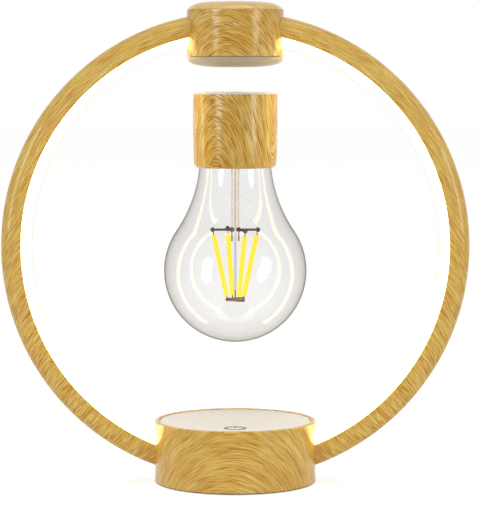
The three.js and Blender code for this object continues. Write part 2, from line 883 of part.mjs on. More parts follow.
function housing() {
  const group = new THREE.Group();
  part(group, "housing_shell", housingShell(), wood);
  part(group, "housing_cover", housingCover(), greyPlastic);
  const sensorTop = dishTop + sensorThickness;
  part(group, "hall_sensor_board", drum(sensorRadius, dishTop, sensorTop, innerSides), greenBoard);
  const pancake = ring(transmitInner, dishFloorRadius - fit, dishTop, bobbinBottom, innerSides);
  part(group, "transmit_coil", pancake, copper);
  part(group, "coil_bobbin", coilBobbin(), blackPlastic);
  const winding = ring(
    bobbinTube + fit,
    bobbinRadius - coilInset,
    bobbinBottom + bobbinFlange,
    bobbinTop - bobbinFlange - fit,
    innerSides,
  );
  part(group, "lift_coil", winding, copper);
  part(group, "coil_core", drum(coreRadius, sensorTop + fit, bobbinTop, innerSides), steel);
  const magnetTop = bobbinTop + biasMagnetThickness;
  const biasMagnet = drum(bobbinRadius - biasMagnetInset, bobbinTop, magnetTop, innerSides);
  part(group, "bias_magnet", biasMagnet, zinc);
  part(group, "arm_plate", armPlate(), steel);
  for (const [name, side] of [
    ["left", -1],
    ["right", 1],
  ]) {
    const oneScrew = screw(screwRadius, plateScrewLength, plateScrewHeadRadius, plateScrewHeadHeight);
    part(group, `plate_screw_${name}`, oneScrew, steel, [side * plateScrewX, 0, plateBottom]);
  }
  group.position.z = housingBottom;
  return group;
}

// The floating unit, whose own heights count from the underside of the cap

function capShell() {
  const recess = capInner + discSeatWidth;
  return turned([
    [mouthRadius, 0],
    ...arc(capRadius - capRound, capRound, capRound, capRound, -90, 0),
    [capRadius, capHeight],
    [recess, capHeight],
    [recess, discSeat],
    [capInner, discSeat],
    [capInner, capFoot],
    [mouthRadius, capFoot],
  ]);
}

function capDisc() {
  const radius = capInner + discSeatWidth - fit;
  const edgeTop = capHeight + discEdgeRise;
  const rise = discRise - discEdgeRise;
  return turned([
    [0, discSeat],
    [radius, discSeat],
    ...arc(0, edgeTop, radius, rise, 0, 90, discSteps).slice(0, -1),
    [0, edgeTop + rise],
  ]);
}

// The carrier of the magnet: a cup with a flange that holds the receiver coil and stands on three legs.
function magnetCup() {
  const cup = turned(
    [
      [0, cupBottom],
      [cupOuter, cupBottom],
      [cupOuter, flangeBottom],
      [flangeRadius, flangeBottom],
      [flangeRadius, flangeTop],
      [cupOuter, flangeTop],
      [cupOuter, cupTop],
      [cupInner, cupTop],
      [cupInner, magnetBottom],
      [0, magnetBottom],
    ],
    innerSides,
  );
  const legRing = (cupOuter + flangeRadius) / 2;
  const legPlaces = cupLegAngles.map((angle) => around(legRing, angle, 0));
  const leg = drum(cupLegRadius, rectifierTop, flangeBottom + cupFloor / 2, wireSides);
  return joined(cup, ...placed(legPlaces, leg));
}

function neckCollar() {
  const bore = neckRadius + fit;
  const outer = mouthRadius + collarWall;
  return turned(
    [
      [mouthRadius, capFoot],
      [outer, capFoot],
      [outer, collarTop],
      [bore, collarTop],
      [bore, neckBend],
    ],
    innerSides,
  );
}

// A sphere that runs into the neck by an outward bend, closed below and open at the neck.
function bulbGlass() {
  const meeting = THREE.MathUtils.radToDeg(Math.atan2(bendRise, neckRadius + bendRadius));
  const wallAt = (inset) => {
    const sphere = bulbRadius - inset;
    const bend = bendRadius + inset;
    return [
      [0, bulbCentre - sphere],
      ...arc(0, bulbCentre, sphere, sphere, -90, 0, bulbLowerSteps).slice(1),
      ...arc(0, bulbCentre, sphere, sphere, 0, meeting, bulbUpperSteps).slice(1),
      ...arc(neckRadius + bendRadius, neckBend, bend, bend, 180 + meeting, 180, bendSteps).slice(1),
      [neckRadius - inset, neckInsertion],
    ];
  };
  return turned([...wallAt(0), ...wallAt(glassWall).reverse()]);
}

// The stem: a flare that closes the neck, a pinch that the wires pass, and the rod down the middle.
function glassStem() {
  const flare = neckRadius - glassWall - fit;
  const flareTop = neckInsertion - flareTopGap;
  const pinchTop = pinchLift + pinchHeight;
  return turned(
    [
      [0, -rodBottomDrop],
      [rodRadius, -rodBottomDrop],
      [rodRadius, pinchLift],
      [pinchRadius, pinchLift],
      [pinchRadius, pinchTop],
      [flare, flareTop - flareThickness],
      [flare, flareTop],
      [flare - flareWall, flareTop],
      [pinchRadius - flareWall, pinchTop + flareWall],
      [0, pinchTop + flareWall],
    ],
    smallSides,
  );
}

const leadWire = (side) => {
  const x = side * leadWireSpread;
  return bar([x, 0, -hubBottomDrop], [x, 0, pinchLift], leadWireRadius);
};

// A point on a filament's axis: it leans in towards the rod as it goes down.
function filamentPoint(angle, drop) {
  const lean =
    (filamentTopSpread - filamentBottomSpread) / (filamentBottomDrop - filamentTopDrop);
  return around(filamentTopSpread - lean * (drop - filamentTopDrop), angle, -drop);
}

// A hub on one lead wire with two arms, each ending in an eye that a filament hangs in.
function supportArms(side, angles) {
  const x = side * leadWireSpread;
  const hub = bar([x, 0, -hubBottomDrop], [x, 0, -hubTopDrop], hubRadius);
  const arms = angles.flatMap((angle) => {
    const eye = new THREE.Vector3(...filamentPoint(angle, crossDrop));
    const start = new THREE.Vector3(x, 0, -crossDrop);
    const way = eye.clone().sub(start).normalize();
    const end = eye.clone().addScaledVector(way, -eyeRadius);
    return [
      bar(start.toArray(), end.toArray(), armRadius),
      new THREE.TorusGeometry(eyeRadius, eyeWireRadius, wireSides, smallSides).translate(
        ...eye.toArray(),
      ),
    ];
  });
  const bore = bar(
    [x, 0, -hubBottomDrop - cutOverrun],
    [x, 0, -hubTopDrop + cutOverrun],
    leadWireRadius + inlayFit,
  );
  return cut(joined(hub, ...arms), bore);
}

function filament(angle) {
  const tabTop = crossDrop - tabRise;
  const tabBottom = ringDrop - ringWireRadius - ringGap;
  return joined(
    bar(
      filamentPoint(angle, filamentTopDrop),
      filamentPoint(angle, filamentBottomDrop),
      filamentRadius,
    ),
    bar(filamentPoint(angle, tabTop), filamentPoint(angle, tabBottom), tabRadius),
  );
}

// The wire ring that joins the filaments' lower ends, with a spoke and a pin up to the rod.
function lowerWireRing() {
  return joined(
    new THREE.TorusGeometry(ringRadius, ringWireRadius, wireSides, innerSides).translate(
      0,
      0,
      -ringDrop,
    ),
    bar([0, -ringRadius, -ringDrop], [0, ringRadius, -ringDrop], ringWireRadius),
    bar([0, 0, -ringDrop], [0, 0, -rodBottomDrop], ringWireRadius),
  );
}

function floatingUnit() {
  const group = new THREE.Group();
  part(group, "cap_shell", capShell(), wood);
  part(group, "cap_disc", capDisc(), whitePlastic);
  const magnetTop = magnetBottom + magnetThickness;
  part(group, "float_magnet", drum(magnetRadius, magnetBottom, magnetTop, innerSides), zinc);
  part(group, "magnet_cup", magnetCup(), blackPlastic);
  const receiver = ring(
    cupOuter + fit,
    flangeRadius,
    flangeTop,
    flangeTop + receiverThickness,
    innerSides,
  );
  part(group, "receiver_coil", receiver, copper);
  const board = drum(capInner - rectifierGap, collarTop, rectifierTop, innerSides);
  part(group, "rectifier_board", board, greenBoard);
  const can = drum(smoothingRadius, neckInsertion + smoothingFloorGap, collarTop, smallSides);
  part(group, "smoothing_capacitor", can, aluminium);
  part(group, "neck_collar", neckCollar(), whitePlastic);
  part(group, "bulb_glass", bulbGlass(), clearGlass);
  part(group, "glass_stem", glassStem(), clearGlass);
  part(group, "lead_wire_left", leadWire(-1), nickelWire);
  part(group, "lead_wire_right", leadWire(1), nickelWire);
  part(group, "support_arms_left", supportArms(-1, leftFilamentAngles), nickelWire);
  part(group, "support_arms_right", supportArms(1, rightFilamentAngles), nickelWire);
  [...leftFilamentAngles, ...rightFilamentAngles].forEach((angle, i) =>
    part(group, `filament_${i + 1}`, filament(angle), filamentYellow),
  );
  part(group, "lower_wire_ring", lowerWireRing(), nickelWire);
  group.position.z = capBottom;
  return group;
}

const lamp = new THREE.Group();
lamp.add(base(), hoop(), housing(), floatingUnit());

export default lamp;
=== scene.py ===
# A levitating lamp: a filament bulb with its own wooden cap floats under a round housing, in a lit wooden
# hoop on a drum-shaped base with a touch mark. Metres, +Z up, the front faces -Y. Places come from the
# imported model.
import json
import math

import bmesh
import bpy
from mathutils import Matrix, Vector


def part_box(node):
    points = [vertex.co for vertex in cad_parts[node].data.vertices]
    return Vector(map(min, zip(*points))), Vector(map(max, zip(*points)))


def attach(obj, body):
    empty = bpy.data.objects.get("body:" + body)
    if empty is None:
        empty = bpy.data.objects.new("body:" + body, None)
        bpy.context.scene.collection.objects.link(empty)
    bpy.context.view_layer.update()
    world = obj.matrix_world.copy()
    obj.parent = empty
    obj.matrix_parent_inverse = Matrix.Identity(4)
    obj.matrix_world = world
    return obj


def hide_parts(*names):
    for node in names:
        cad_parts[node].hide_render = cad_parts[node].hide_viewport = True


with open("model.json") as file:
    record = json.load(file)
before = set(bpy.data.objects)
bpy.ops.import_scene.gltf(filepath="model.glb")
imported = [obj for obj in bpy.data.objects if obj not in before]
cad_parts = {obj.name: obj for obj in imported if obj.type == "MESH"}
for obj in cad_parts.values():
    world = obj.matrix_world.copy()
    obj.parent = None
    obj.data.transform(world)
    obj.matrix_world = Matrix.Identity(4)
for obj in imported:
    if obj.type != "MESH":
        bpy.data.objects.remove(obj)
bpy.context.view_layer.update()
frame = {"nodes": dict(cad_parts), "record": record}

MM = 0.001
WELD = 0.005 * MM
SMOOTH_BELOW = math.radians(35)
BEVEL_ABOVE = math.radians(40)
WHITE = (1.0, 1.0, 1.0, 1.0)

# How finely round things are made
GLASS_SIDES = 160
ROUND_SIDES = 144
HOOP_STEPS = 132
MARK_SIDES = 96
INLET_SIDES = 64
SCREW_SIDES = 48
PIN_SIDES = 32
FILAMENT_SIDES = 24
WIRE_SIDES = 12

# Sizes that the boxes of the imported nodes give
base_low, base_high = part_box("base_shell")
panel_low, panel_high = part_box("base_top_panel")
mark_low, mark_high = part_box("touch_mark")
cover_low, cover_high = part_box("bottom_cover")
pad_low, pad_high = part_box("foot_pad")
jack_low, jack_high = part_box("dc_jack_body")
pin_low, pin_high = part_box("dc_jack_pin")
arm_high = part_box("hoop_arm_right")[1]
housing_low, housing_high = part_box("housing_shell")
dish_low, dish_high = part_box("housing_cover")
cap_low, cap_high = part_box("cap_shell")
disc_low, disc_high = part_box("cap_disc")
collar_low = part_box("neck_collar")[0]
glass_low, glass_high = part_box("bulb_glass")
stem_low, stem_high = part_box("glass_stem")
ring_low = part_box("lower_wire_ring")[0]
base_radius = base_high.x
housing_radius = housing_high.x
cap_radius = cap_high.x
inlet_level = (jack_low.z + jack_high.z) / 2

# Sizes of the hoop that no box gives
hoop_floor_gap = 1.5 * MM
hoop_thickness = 8.7 * MM
hoop_edge_round = 5 * MM
hoop_lip_round = 0.5 * MM
face_fall = 0.9 * MM
channel_depth = 5.7 * MM
channel_cheek = 1.8 * MM
diffuser_bulge = 3.8 * MM
diffuser_gap = 0.3 * MM
bead_width = 0.7 * MM
bead_height = 0.4 * MM
hoop_radius = arm_high.x
hoop_inner = hoop_radius - hoop_thickness
hoop_half = arm_high.y
hoop_centre = hoop_floor_gap + hoop_radius
channel_half = hoop_half - channel_cheek
bead_root = hoop_inner - diffuser_bulge

# Sizes of the bulb that no box gives, with levels counted down from the cap's foot
neck_radius = 15 * MM
neck_straight = 2.5 * MM
glass_wall = 0.4 * MM
hub_offset = 1.45 * MM
hub_top = cap_low.z - 25.5 * MM
hub_foot = cap_low.z - 31.3 * MM
cross_level = cap_low.z - 26.4 * MM
filament_top = cap_low.z - 28.7 * MM
filament_foot = cap_low.z - 54.6 * MM
filament_top_spread = 9.1 * MM
filament_foot_spread = 3.65 * MM
ring_level = ring_low.z + 0.4 * MM


# Modelling


def hold(piece):
    """Selects one piece alone, and makes it the active one."""
    bpy.ops.object.select_all(action="DESELECT")
    piece.select_set(True)
    bpy.context.view_layer.objects.active = piece


def named(name):
    """Names the piece that was added last."""
    piece = bpy.context.active_object
    piece.name = name
    piece.data.name = name
    return piece


def smooth(piece):
    """Shades a piece smoothly, and keeps its sharp edges."""
    hold(piece)
    bpy.ops.object.shade_smooth_by_angle(angle=SMOOTH_BELOW)


def settle(piece):
    """Sets a piece's place, turn and scale into its mesh."""
    hold(piece)
    bpy.ops.object.transform_apply(location=True, rotation=True, scale=True)


def select_where(piece, wanted):
    """In edit mode, selects the vertices whose place passes the test, and what lies between them."""
    mesh = bmesh.from_edit_mesh(piece.data)
    for vertex in mesh.verts:
        vertex.select_set(wanted(vertex.co))
    mesh.select_flush_mode()
    bmesh.update_edit_mesh(piece.data)


def extrude_to(ring_from, ring_to):
    """Extrudes the selected ring from one radius and height to the next, or to a pole on the axis."""
    (radius, height), (next_radius, next_height) = ring_from, ring_to
    bpy.ops.mesh.extrude_region_move(TRANSFORM_OT_translate={"value": (0, 0, next_height - height)})
    if next_radius < WELD:
        bpy.ops.mesh.merge(type="CENTER")
        return
    share = next_radius / radius
    bpy.ops.transform.resize(value=(share, share, 1), center_override=(0, 0, next_height))


def close_up(piece):
    """In edit mode, joins doubled vertices, turns the faces outwards and leaves edit mode."""
    bpy.ops.mesh.select_all(action="SELECT")
    bpy.ops.mesh.remove_doubles(threshold=WELD)
    bpy.ops.mesh.normals_make_consistent(inside=False)
    bpy.ops.object.mode_set(mode="OBJECT")
    smooth(piece)


def turned(name, profile, sides=ROUND_SIDES, closed=False):
    """A round piece about the Z axis: a circle is extruded from point to point of a profile, whose points
    are radius and height. A profile starts and ends on the axis, or is closed on itself."""
    starts_on_axis = profile[0][0] < WELD
    rings = profile[1:] if starts_on_axis else list(profile)
    if closed:
        rings.append(rings[0])
    radius, height = rings[0]
    bpy.ops.object.select_all(action="DESELECT")
    bpy.ops.mesh.primitive_circle_add(vertices=sides, radius=radius, location=(0, 0, height))
    piece = named(name)
    settle(piece)
    bpy.ops.object.mode_set(mode="EDIT")
    bpy.ops.mesh.select_all(action="SELECT")
    for ring_from, ring_to in zip(rings, rings[1:]):
        extrude_to(ring_from, ring_to)
    if starts_on_axis:

        def on_first_ring(co):
            return abs(math.hypot(co.x, co.y) - radius) < WELD and abs(co.z - height) < WELD

        select_where(piece, on_first_ring)
        extrude_to(rings[0], profile[0])
    close_up(piece)
    return piece


def arc(centre, across, start, end, steps=8, up=None):
    """Points of an arc in a profile, with its angles in degrees from the outward direction. It is round,
    unless its height is given too."""
    up = across if up is None else up
    angles = [math.radians(start + (end - start) * i / steps) for i in range(steps + 1)]
    return [(centre[0] + across * math.cos(a), centre[1] + up * math.sin(a)) for a in angles]


def squared_off(radius, level, height, power, steps=24):
    """Points of a profile that runs from a radius at a level to the axis, as a squared-off ellipse."""
    angles = [math.pi / 2 * i / steps for i in range(steps)]
    share = 2 / power
    points = [(radius * math.cos(a) ** share, level + height * math.sin(a) ** share) for a in angles]
    return [*points, (0, level + height)]


def cut_away(piece, cutter):
    """Cuts one closed shape out of a piece."""
    hold(piece)
    bpy.ops.object.modifier_add(type="BOOLEAN")
    cutting = piece.modifiers[-1]
    cutting.operation = "DIFFERENCE"
    cutting.solver = "EXACT"
    cutting.object = cutter
    bpy.ops.object.modifier_apply(modifier=cutting.name)
    bpy.data.objects.remove(cutter)
    smooth(piece)


def soften(piece, width, segments):
    """Rounds the sharp edges of a piece."""
    hold(piece)
    bpy.ops.object.modifier_add(type="BEVEL")
    rounding = piece.modifiers[-1]
    rounding.width = width
    rounding.segments = segments
    rounding.limit_method = "ANGLE"
    rounding.angle_limit = BEVEL_ABOVE
    bpy.ops.object.modifier_apply(modifier=rounding.name)
    smooth(piece)


def rod(name, start, end, radius, sides=WIRE_SIDES):
    """A round bar from one point to another."""
    way = Vector(end) - Vector(start)
    bpy.ops.object.select_all(action="DESELECT")
    bpy.ops.mesh.primitive_cylinder_add(
        vertices=sides,
        radius=radius,
        depth=way.length,
        location=(Vector(start) + Vector(end)) / 2,
        rotation=way.to_track_quat("Z", "Y").to_euler(),
    )
    piece = named(name)
    settle(piece)
    smooth(piece)
    return piece


def wire_ring(name, centre, turn, radius, wire_radius, sides):
    """A ring of round wire."""
    bpy.ops.mesh.primitive_torus_add(
        location=centre,
        rotation=turn,
        major_radius=radius,
        minor_radius=wire_radius,
        major_segments=sides,
        minor_segments=WIRE_SIDES,
    )
    return named(name)


def joined(name, pieces):
    """Several pieces as one object."""
    bpy.ops.object.select_all(action="DESELECT")
    for piece in pieces:
        piece.select_set(True)
    bpy.context.view_layer.objects.active = pieces[0]
    bpy.ops.object.join()
    return named(name)


def coated(piece, *coats):
    """Gives a piece its finishes, with the first one all over."""
    piece.data.materials.clear()
    for coat in coats:
        piece.data.materials.append(coat)
    return piece


def recolour(piece, material_index, wanted):
    """Gives another of the piece's materials to the faces whose corners all pass the test."""
    hold(piece)
    bpy.ops.object.mode_set(mode="EDIT")
    bpy.ops.mesh.select_all(action="DESELECT")
    select_where(piece, wanted)
    piece.active_material_index = material_index
    bpy.ops.object.material_slot_assign()
    bpy.ops.object.mode_set(mode="OBJECT")


def put_on(piece, body, slot, replaced):
    """Sets a piece's place into its mesh, gives a bare piece the finish of its slot, and puts the piece on
    its body for the node that it replaces."""
    settle(piece)
    if not any(piece.data.materials):
        coated(piece, finishes[slot])
    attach(piece, body)
    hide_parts(replaced)


# Finishes


def node(tree, kind, inputs=None, **settings):
    """Adds a shader node. Its inputs are values, or outputs of other nodes."""
    new = tree.nodes.new("ShaderNode" + kind)
    for key, value in settings.items():
        setattr(new, key, value)
    for key, value in (inputs or {}).items():
        if isinstance(value, bpy.types.NodeSocket):
            tree.links.new(value, new.inputs[key])
        else:
            new.inputs[key].default_value = value
    return new


def calc(tree, operation, *values):
    """One step of arithmetic."""
    return node(tree, "Math", dict(enumerate(values)), operation=operation).outputs[0]


def hypotenuse(tree, first, second):
    """The length across two lengths at right angles."""
    squares = [calc(tree, "POWER", length, 2.0) for length in (first, second)]
    return calc(tree, "SQRT", calc(tree, "ADD", *squares))


def between(tree, value, low, high, to_low=0.0, to_high=1.0):
    """Maps a value from one range to another, and holds it there."""
    ranges = {"Value": value, "From Min": low, "From Max": high, "To Min": to_low, "To Max": to_high}
    return node(tree, "MapRange", ranges).outputs[0]


def noise(tree, vector, scale, detail=2.0):
    """A noise about 0.5, whose patches are about one unit wide at scale 1."""
    return node(tree, "TexNoise", {"Vector": vector, "Scale": scale, "Detail": detail}).outputs[0]


def uneven(tree, cloud, low, high):
    """Spreads a noise between two values, by the range that most of it lies in."""
    return between(tree, cloud, 0.3, 0.7, low, high)


def blended(tree, share, first, second, mode="MIX"):
    """Two colours, mixed by a share."""
    mixing = node(tree, "Mix", data_type="RGBA", blend_type=mode)
    share_socket, first_socket, second_socket = mixing.inputs[0], mixing.inputs[6], mixing.inputs[7]
    for socket, value in ((share_socket, share), (first_socket, first), (second_socket, second)):
        if isinstance(value, bpy.types.NodeSocket):
            tree.links.new(value, socket)
        else:
            socket.default_value = value
    return mixing.outputs[2]


def shaded(tree, colour, shade):
    """A colour made darker or lighter by a share."""
    grey = node(tree, "CombineColor", {0: shade, 1: shade, 2: shade}).outputs[0]
    return blended(tree, 1.0, colour, grey, "MULTIPLY")


def srgb(red, green, blue):
    """A colour written as on a screen, from 0 to 255, in the renderer's linear light."""

    def linear(level):
        share = level / 255
        return share / 12.92 if share <= 0.04045 else ((share + 0.055) / 1.055) ** 2.4

    return (linear(red), linear(green), linear(blue), 1.0)


def new_finish(name):
    """An empty material, and its node tree."""
    material = bpy.data.materials.new(name)
    material.use_nodes = True
    material.node_tree.nodes.clear()
    return material, material.node_tree


def solid(tree, inputs):
    """The shader of a solid surface."""
    return node(tree, "BsdfPrincipled", inputs).outputs[0]


def end_with(tree, surface, volume=None):
    """Puts the shaders of the surface and of what is inside it on the output."""
    output = node(tree, "OutputMaterial", {"Surface": surface})
    if volume is not None:
        tree.links.new(volume, output.inputs["Volume"])


def millimetres(tree, centre=(0, 0, 0), turn=0.0):
    """Object coordinates in millimetres from a centre, turned about the upright axis."""
    places = node(tree, "TexCoord").outputs["Object"]
    scaled = node(tree, "VectorMath", {0: places, "Scale": 1 / MM}, operation="SCALE").outputs[0]
    moved = node(tree, "VectorMath", {0: scaled, 1: tuple(c / MM for c in centre)}, operation="SUBTRACT")
    if not turn:
        return moved.outputs[0]
    turning = {"Vector": moved.outputs[0], "Angle": turn}
    return node(tree, "VectorRotate", turning, rotation_type="Z_AXIS").outputs[0]


def wandered(tree, level, place, sway, tremble):
    """A grain coordinate that sways slowly and trembles a little, by the given widths in millimetres."""
    sway_scale, tremble_scale = 0.03, 0.15
    for scale, width in ((sway_scale, sway), (tremble_scale, tremble)):
        swing = calc(tree, "SUBTRACT", noise(tree, place, scale, 0.0), 0.5)
        level = calc(tree, "ADD", level, calc(tree, "MULTIPLY", swing, width))
    return level


def arched_grain(tree, radius, centre_height, turn, slimness):
    """Nested arches round an upright drum, about a centre at a height. Gives the run along an arch, the
    arch's size, and a third coordinate."""
    place = millimetres(tree, (0, 0, centre_height), turn)
    parts = node(tree, "SeparateXYZ", {0: place})
    rise = parts.outputs["Z"]
    span = calc(tree, "DIVIDE", parts.outputs["X"], radius / MM)
    angle = calc(tree, "ARCSINE", calc(tree, "MINIMUM", calc(tree, "MAXIMUM", span, -1.0), 1.0))
    side = calc(tree, "MULTIPLY", angle, radius / MM / slimness)
    size = hypotenuse(tree, side, rise)
    run = calc(tree, "MULTIPLY", calc(tree, "ARCTAN2", rise, side), size)
    return run, wandered(tree, size, place, sway=4.5, tremble=0.6), parts.outputs["Y"]


def swept_grain(tree):
    """Streaks that follow the hoop over its top, and run on straight down each side at the same lean."""
    section_lean, bow_share, straight_from = 8.0, 0.07, math.radians(50)
    middle, inner = (hoop_radius + hoop_inner) / 2 / MM, hoop_inner / MM
    place = millimetres(tree, (0, 0, hoop_centre))
    parts = node(tree, "SeparateXYZ", {0: place})
    x, y, z = (parts.outputs[axis] for axis in "XYZ")
    depth = calc(tree, "SUBTRACT", hypotenuse(tree, x, z), middle)
    round_section = calc(tree, "ARCTAN2", depth, calc(tree, "MULTIPLY", y, -1.0))
    lean = calc(tree, "MULTIPLY", round_section, section_lean)
    inward = calc(tree, "ADD", depth, middle - inner)
    bow = calc(tree, "MULTIPLY", calc(tree, "MULTIPLY", inward, inward), bow_share)
    reach = calc(tree, "ADD", lean, calc(tree, "ADD", bow, middle))
    angle = calc(tree, "ARCTAN2", calc(tree, "ABSOLUTE", x), z)
    past = calc(tree, "MAXIMUM", calc(tree, "SUBTRACT", angle, straight_from), 0.0)
    level = calc(tree, "MULTIPLY", reach, calc(tree, "COSINE", past))
    over_top = calc(tree, "MULTIPLY", calc(tree, "MINIMUM", angle, straight_from), middle)
    run = calc(tree, "ADD", calc(tree, "MULTIPLY", reach, calc(tree, "SINE", past)), over_top)
    return run, wandered(tree, level, place, sway=5.0, tremble=0.6), y


def straight_grain(tree):
    """Streaks along X, for a top that the light falls on."""
    place = millimetres(tree)
    x, y, z = (node(tree, "SeparateXYZ", {0: place}).outputs[axis] for axis in "XYZ")
    return x, wandered(tree, y, place, sway=6.0, tremble=0.8), z


wood_tones = {
    "light": srgb(237, 210, 126),
    "middle": srgb(226, 191, 88),
    "dark": srgb(204, 151, 28),
    "streak": srgb(176, 107, 0),
}
# Paler tones for the dome's top: partly its own print with level grain, partly painted light from the lamp
# above
dome_print_lit_tones = {
    "light": srgb(238, 208, 148),
    "middle": srgb(232, 196, 116),
    "dark": srgb(224, 180, 92),
    "streak": srgb(212, 162, 76),
}

# Layers of the wood print: how long and wide its streaks are in millimetres, where the layer lies in the
# noise, and the values of the noise between which it comes in
wood_layers = {
    "bands": (50.0, 4.0, 0.0, 0.35, 0.65),
    "rings": (30.0, 0.9, 7.0, 0.45, 0.65),
    "fibres": (12.0, 0.45, 3.0, 0.42, 0.6),
    "dashes": (8.0, 0.42, 19.0, 0.52, 0.62),
    "crowd": (20.0, 2.5, 5.0, 0.4, 0.6),
}


def wood(
    name, grain, tones=wood_tones, depth=1.0, contrast=0.85, coarse=1.0, stretch=1.0, banding=1.0
):
    """Printed wood grain under a satin coat: soft bands, fine streaks and thin dark dashes that follow the
    grain. Depth scales the tones: under 1 it darkens them as painted shade, over 1 it lightens them as
    painted light, partly also the part's own print tone. Coarse and stretch scale the streaks' width and
    length."""
    third_length, ring_share, fibre_share, least_crowd = 15.0, 0.25, 0.75, 0.65
    gloss, smoothest, roughest = 0.38, 0.16, 0.29
    material, tree = new_finish(name)
    # Depth scales the print's tones: partly painted shade or light for how brightly each part is lit
    tones = {part: (*(level * depth for level in tone[:3]), 1.0) for part, tone in tones.items()}
    run, level, third = grain(tree)

    def layer(kind, least=0.0, most=1.0):
        length, width, offset, comes_in, full = wood_layers[kind]
        place = {
            0: calc(tree, "ADD", calc(tree, "DIVIDE", run, length * stretch), offset),
            1: calc(tree, "DIVIDE", level, width * coarse),
            2: calc(tree, "DIVIDE", third, third_length),
        }
        streaks = noise(tree, node(tree, "CombineXYZ", place).outputs[0], 1.0, 0.0)
        return between(tree, streaks, comes_in, full, least, most)

    bands = layer("bands", 0.5 - 0.5 * banding, 0.5 + 0.5 * banding)
    tone = blended(tree, bands, tones["middle"], tones["light"])
    rings = calc(tree, "MULTIPLY", layer("rings"), ring_share)
    tone = blended(tree, rings, tone, tones["dark"])
    fibres = calc(tree, "MULTIPLY", layer("fibres"), fibre_share * contrast)
    tone = blended(tree, fibres, tone, tones["dark"])
    dashes = calc(tree, "MULTIPLY", layer("dashes"), layer("crowd", least_crowd))
    tone = blended(tree, calc(tree, "MULTIPLY", dashes, contrast), tone, tones["streak"])
    rough = between(tree, dashes, 0.0, 1.0, smoothest, roughest)
    relief = node(tree, "Bump", {"Height": dashes, "Strength": 0.15, "Distance": 0.05 * MM}, invert=True)
    inputs = {
        "Base Color": tone,
        "Roughness": rough,
        "Normal": relief.outputs[0],
        "Specular IOR Level": gloss,
    }
    end_with(tree, solid(tree, inputs))
    return material


def moulded(name, colour, roughness, speckle=0.03, grain=0.9):
    """Moulded plastic, rubber or paint: slightly uneven in colour and gloss."""
    pore_scale = 6.0
    material, tree = new_finish(name)
    place = millimetres(tree)
    shade = uneven(tree, noise(tree, place, grain, 3.0), 1 - speckle, 1 + speckle)
    rough = uneven(tree, noise(tree, place, 2 * grain), 0.9 * roughness, 1.1 * roughness)
    pores = noise(tree, place, pore_scale)
    relief = node(tree, "Bump", {"Height": pores, "Strength": 0.1, "Distance": 0.01 * MM})
    inputs = {
        "Base Color": shaded(tree, colour, shade),
        "Roughness": rough,
        "Normal": relief.outputs[0],
    }
    end_with(tree, solid(tree, inputs))
    return material


def metal(name, colour, roughness, worn=0.12, edge=WHITE):
    """Bare or plated metal with a fine brushed unevenness and duller spots."""
    brush_shares, brush_scale = (0.8, 0.8, 6.0), 2.0
    material, tree = new_finish(name)
    place = millimetres(tree)
    drawn = node(tree, "VectorMath", {0: place, 1: brush_shares}, operation="MULTIPLY").outputs[0]
    lines = noise(tree, drawn, brush_scale, 3.0)
    inputs = {
        "Base Color": shaded(tree, colour, uneven(tree, lines, 1 - worn, 1.0)),
        "Roughness": uneven(tree, lines, 0.8 * roughness, 1.2 * roughness),
        "Metallic": 1.0,
        "Specular Tint": edge,
    }
    end_with(tree, solid(tree, inputs))
    return material


def circuit_board(name):
    """Green board with paler tracks under the lacquer."""
    cell_scale, lacquer_scale = 0.55, 1.5
    material, tree = new_finish(name)
    place = millimetres(tree)
    cells = node(tree, "TexVoronoi", {"Vector": place, "Scale": cell_scale}, distance="MANHATTAN")
    tracks = between(tree, cells.outputs["Distance"], 0.42, 0.5)
    tone = blended(tree, tracks, srgb(28, 84, 52), srgb(44, 112, 70))
    rough = uneven(tree, noise(tree, place, lacquer_scale), 0.3, 0.45)
    end_with(tree, solid(tree, {"Base Color": tone, "Roughness": rough}))
    return material


def clear_glass(
    name, colour, density, mirror_shares=(0.04, 0.07), tint=(0.82, 0.9, 1.0, 1.0), roughness=0.02
):
    """Clear thin glass: it mirrors more towards its edges, and its body darkens with the length of the way
    in it."""
    cloud_scale, edge_power = 0.15, 5.0
    material, tree = new_finish(name)
    cloud = noise(tree, millimetres(tree), cloud_scale, 1.0)
    rough = uneven(tree, cloud, 0.5 * roughness, 1.5 * roughness)
    mirror = solid(tree, {"Base Color": tint, "Metallic": 1.0, "Roughness": rough})
    passing = node(tree, "BsdfTransparent", {"Color": WHITE}).outputs[0]
    slant = node(tree, "LayerWeight", {"Blend": 0.5}).outputs["Facing"]
    share = between(tree, calc(tree, "POWER", slant, edge_power), 0.0, 1.0, *mirror_shares)
    surface = node(tree, "MixShader", {0: share, 1: passing, 2: mirror}).outputs[0]
    absorbed = node(tree, "VolumeAbsorption", {"Color": colour, "Density": density}).outputs[0]
    end_with(tree, surface, absorbed)
    return material


def glowing(name, colour, strength, unlit=None, gloss=0.5):
    """A lit surface: its light is uneven by a few hundredths, as through a moulded diffuser. Unlit is its
    colour without its own light."""
    cloud_scale = 0.3
    material, tree = new_finish(name)
    cloud = noise(tree, millimetres(tree), cloud_scale)
    inputs = {
        "Base Color": unlit or colour,
        "Roughness": 0.5,
        "Specular IOR Level": gloss,
        "Emission Color": colour,
        "Emission Strength": uneven(tree, cloud, 0.97 * strength, 1.03 * strength),
    }
    end_with(tree, solid(tree, inputs))
    return material


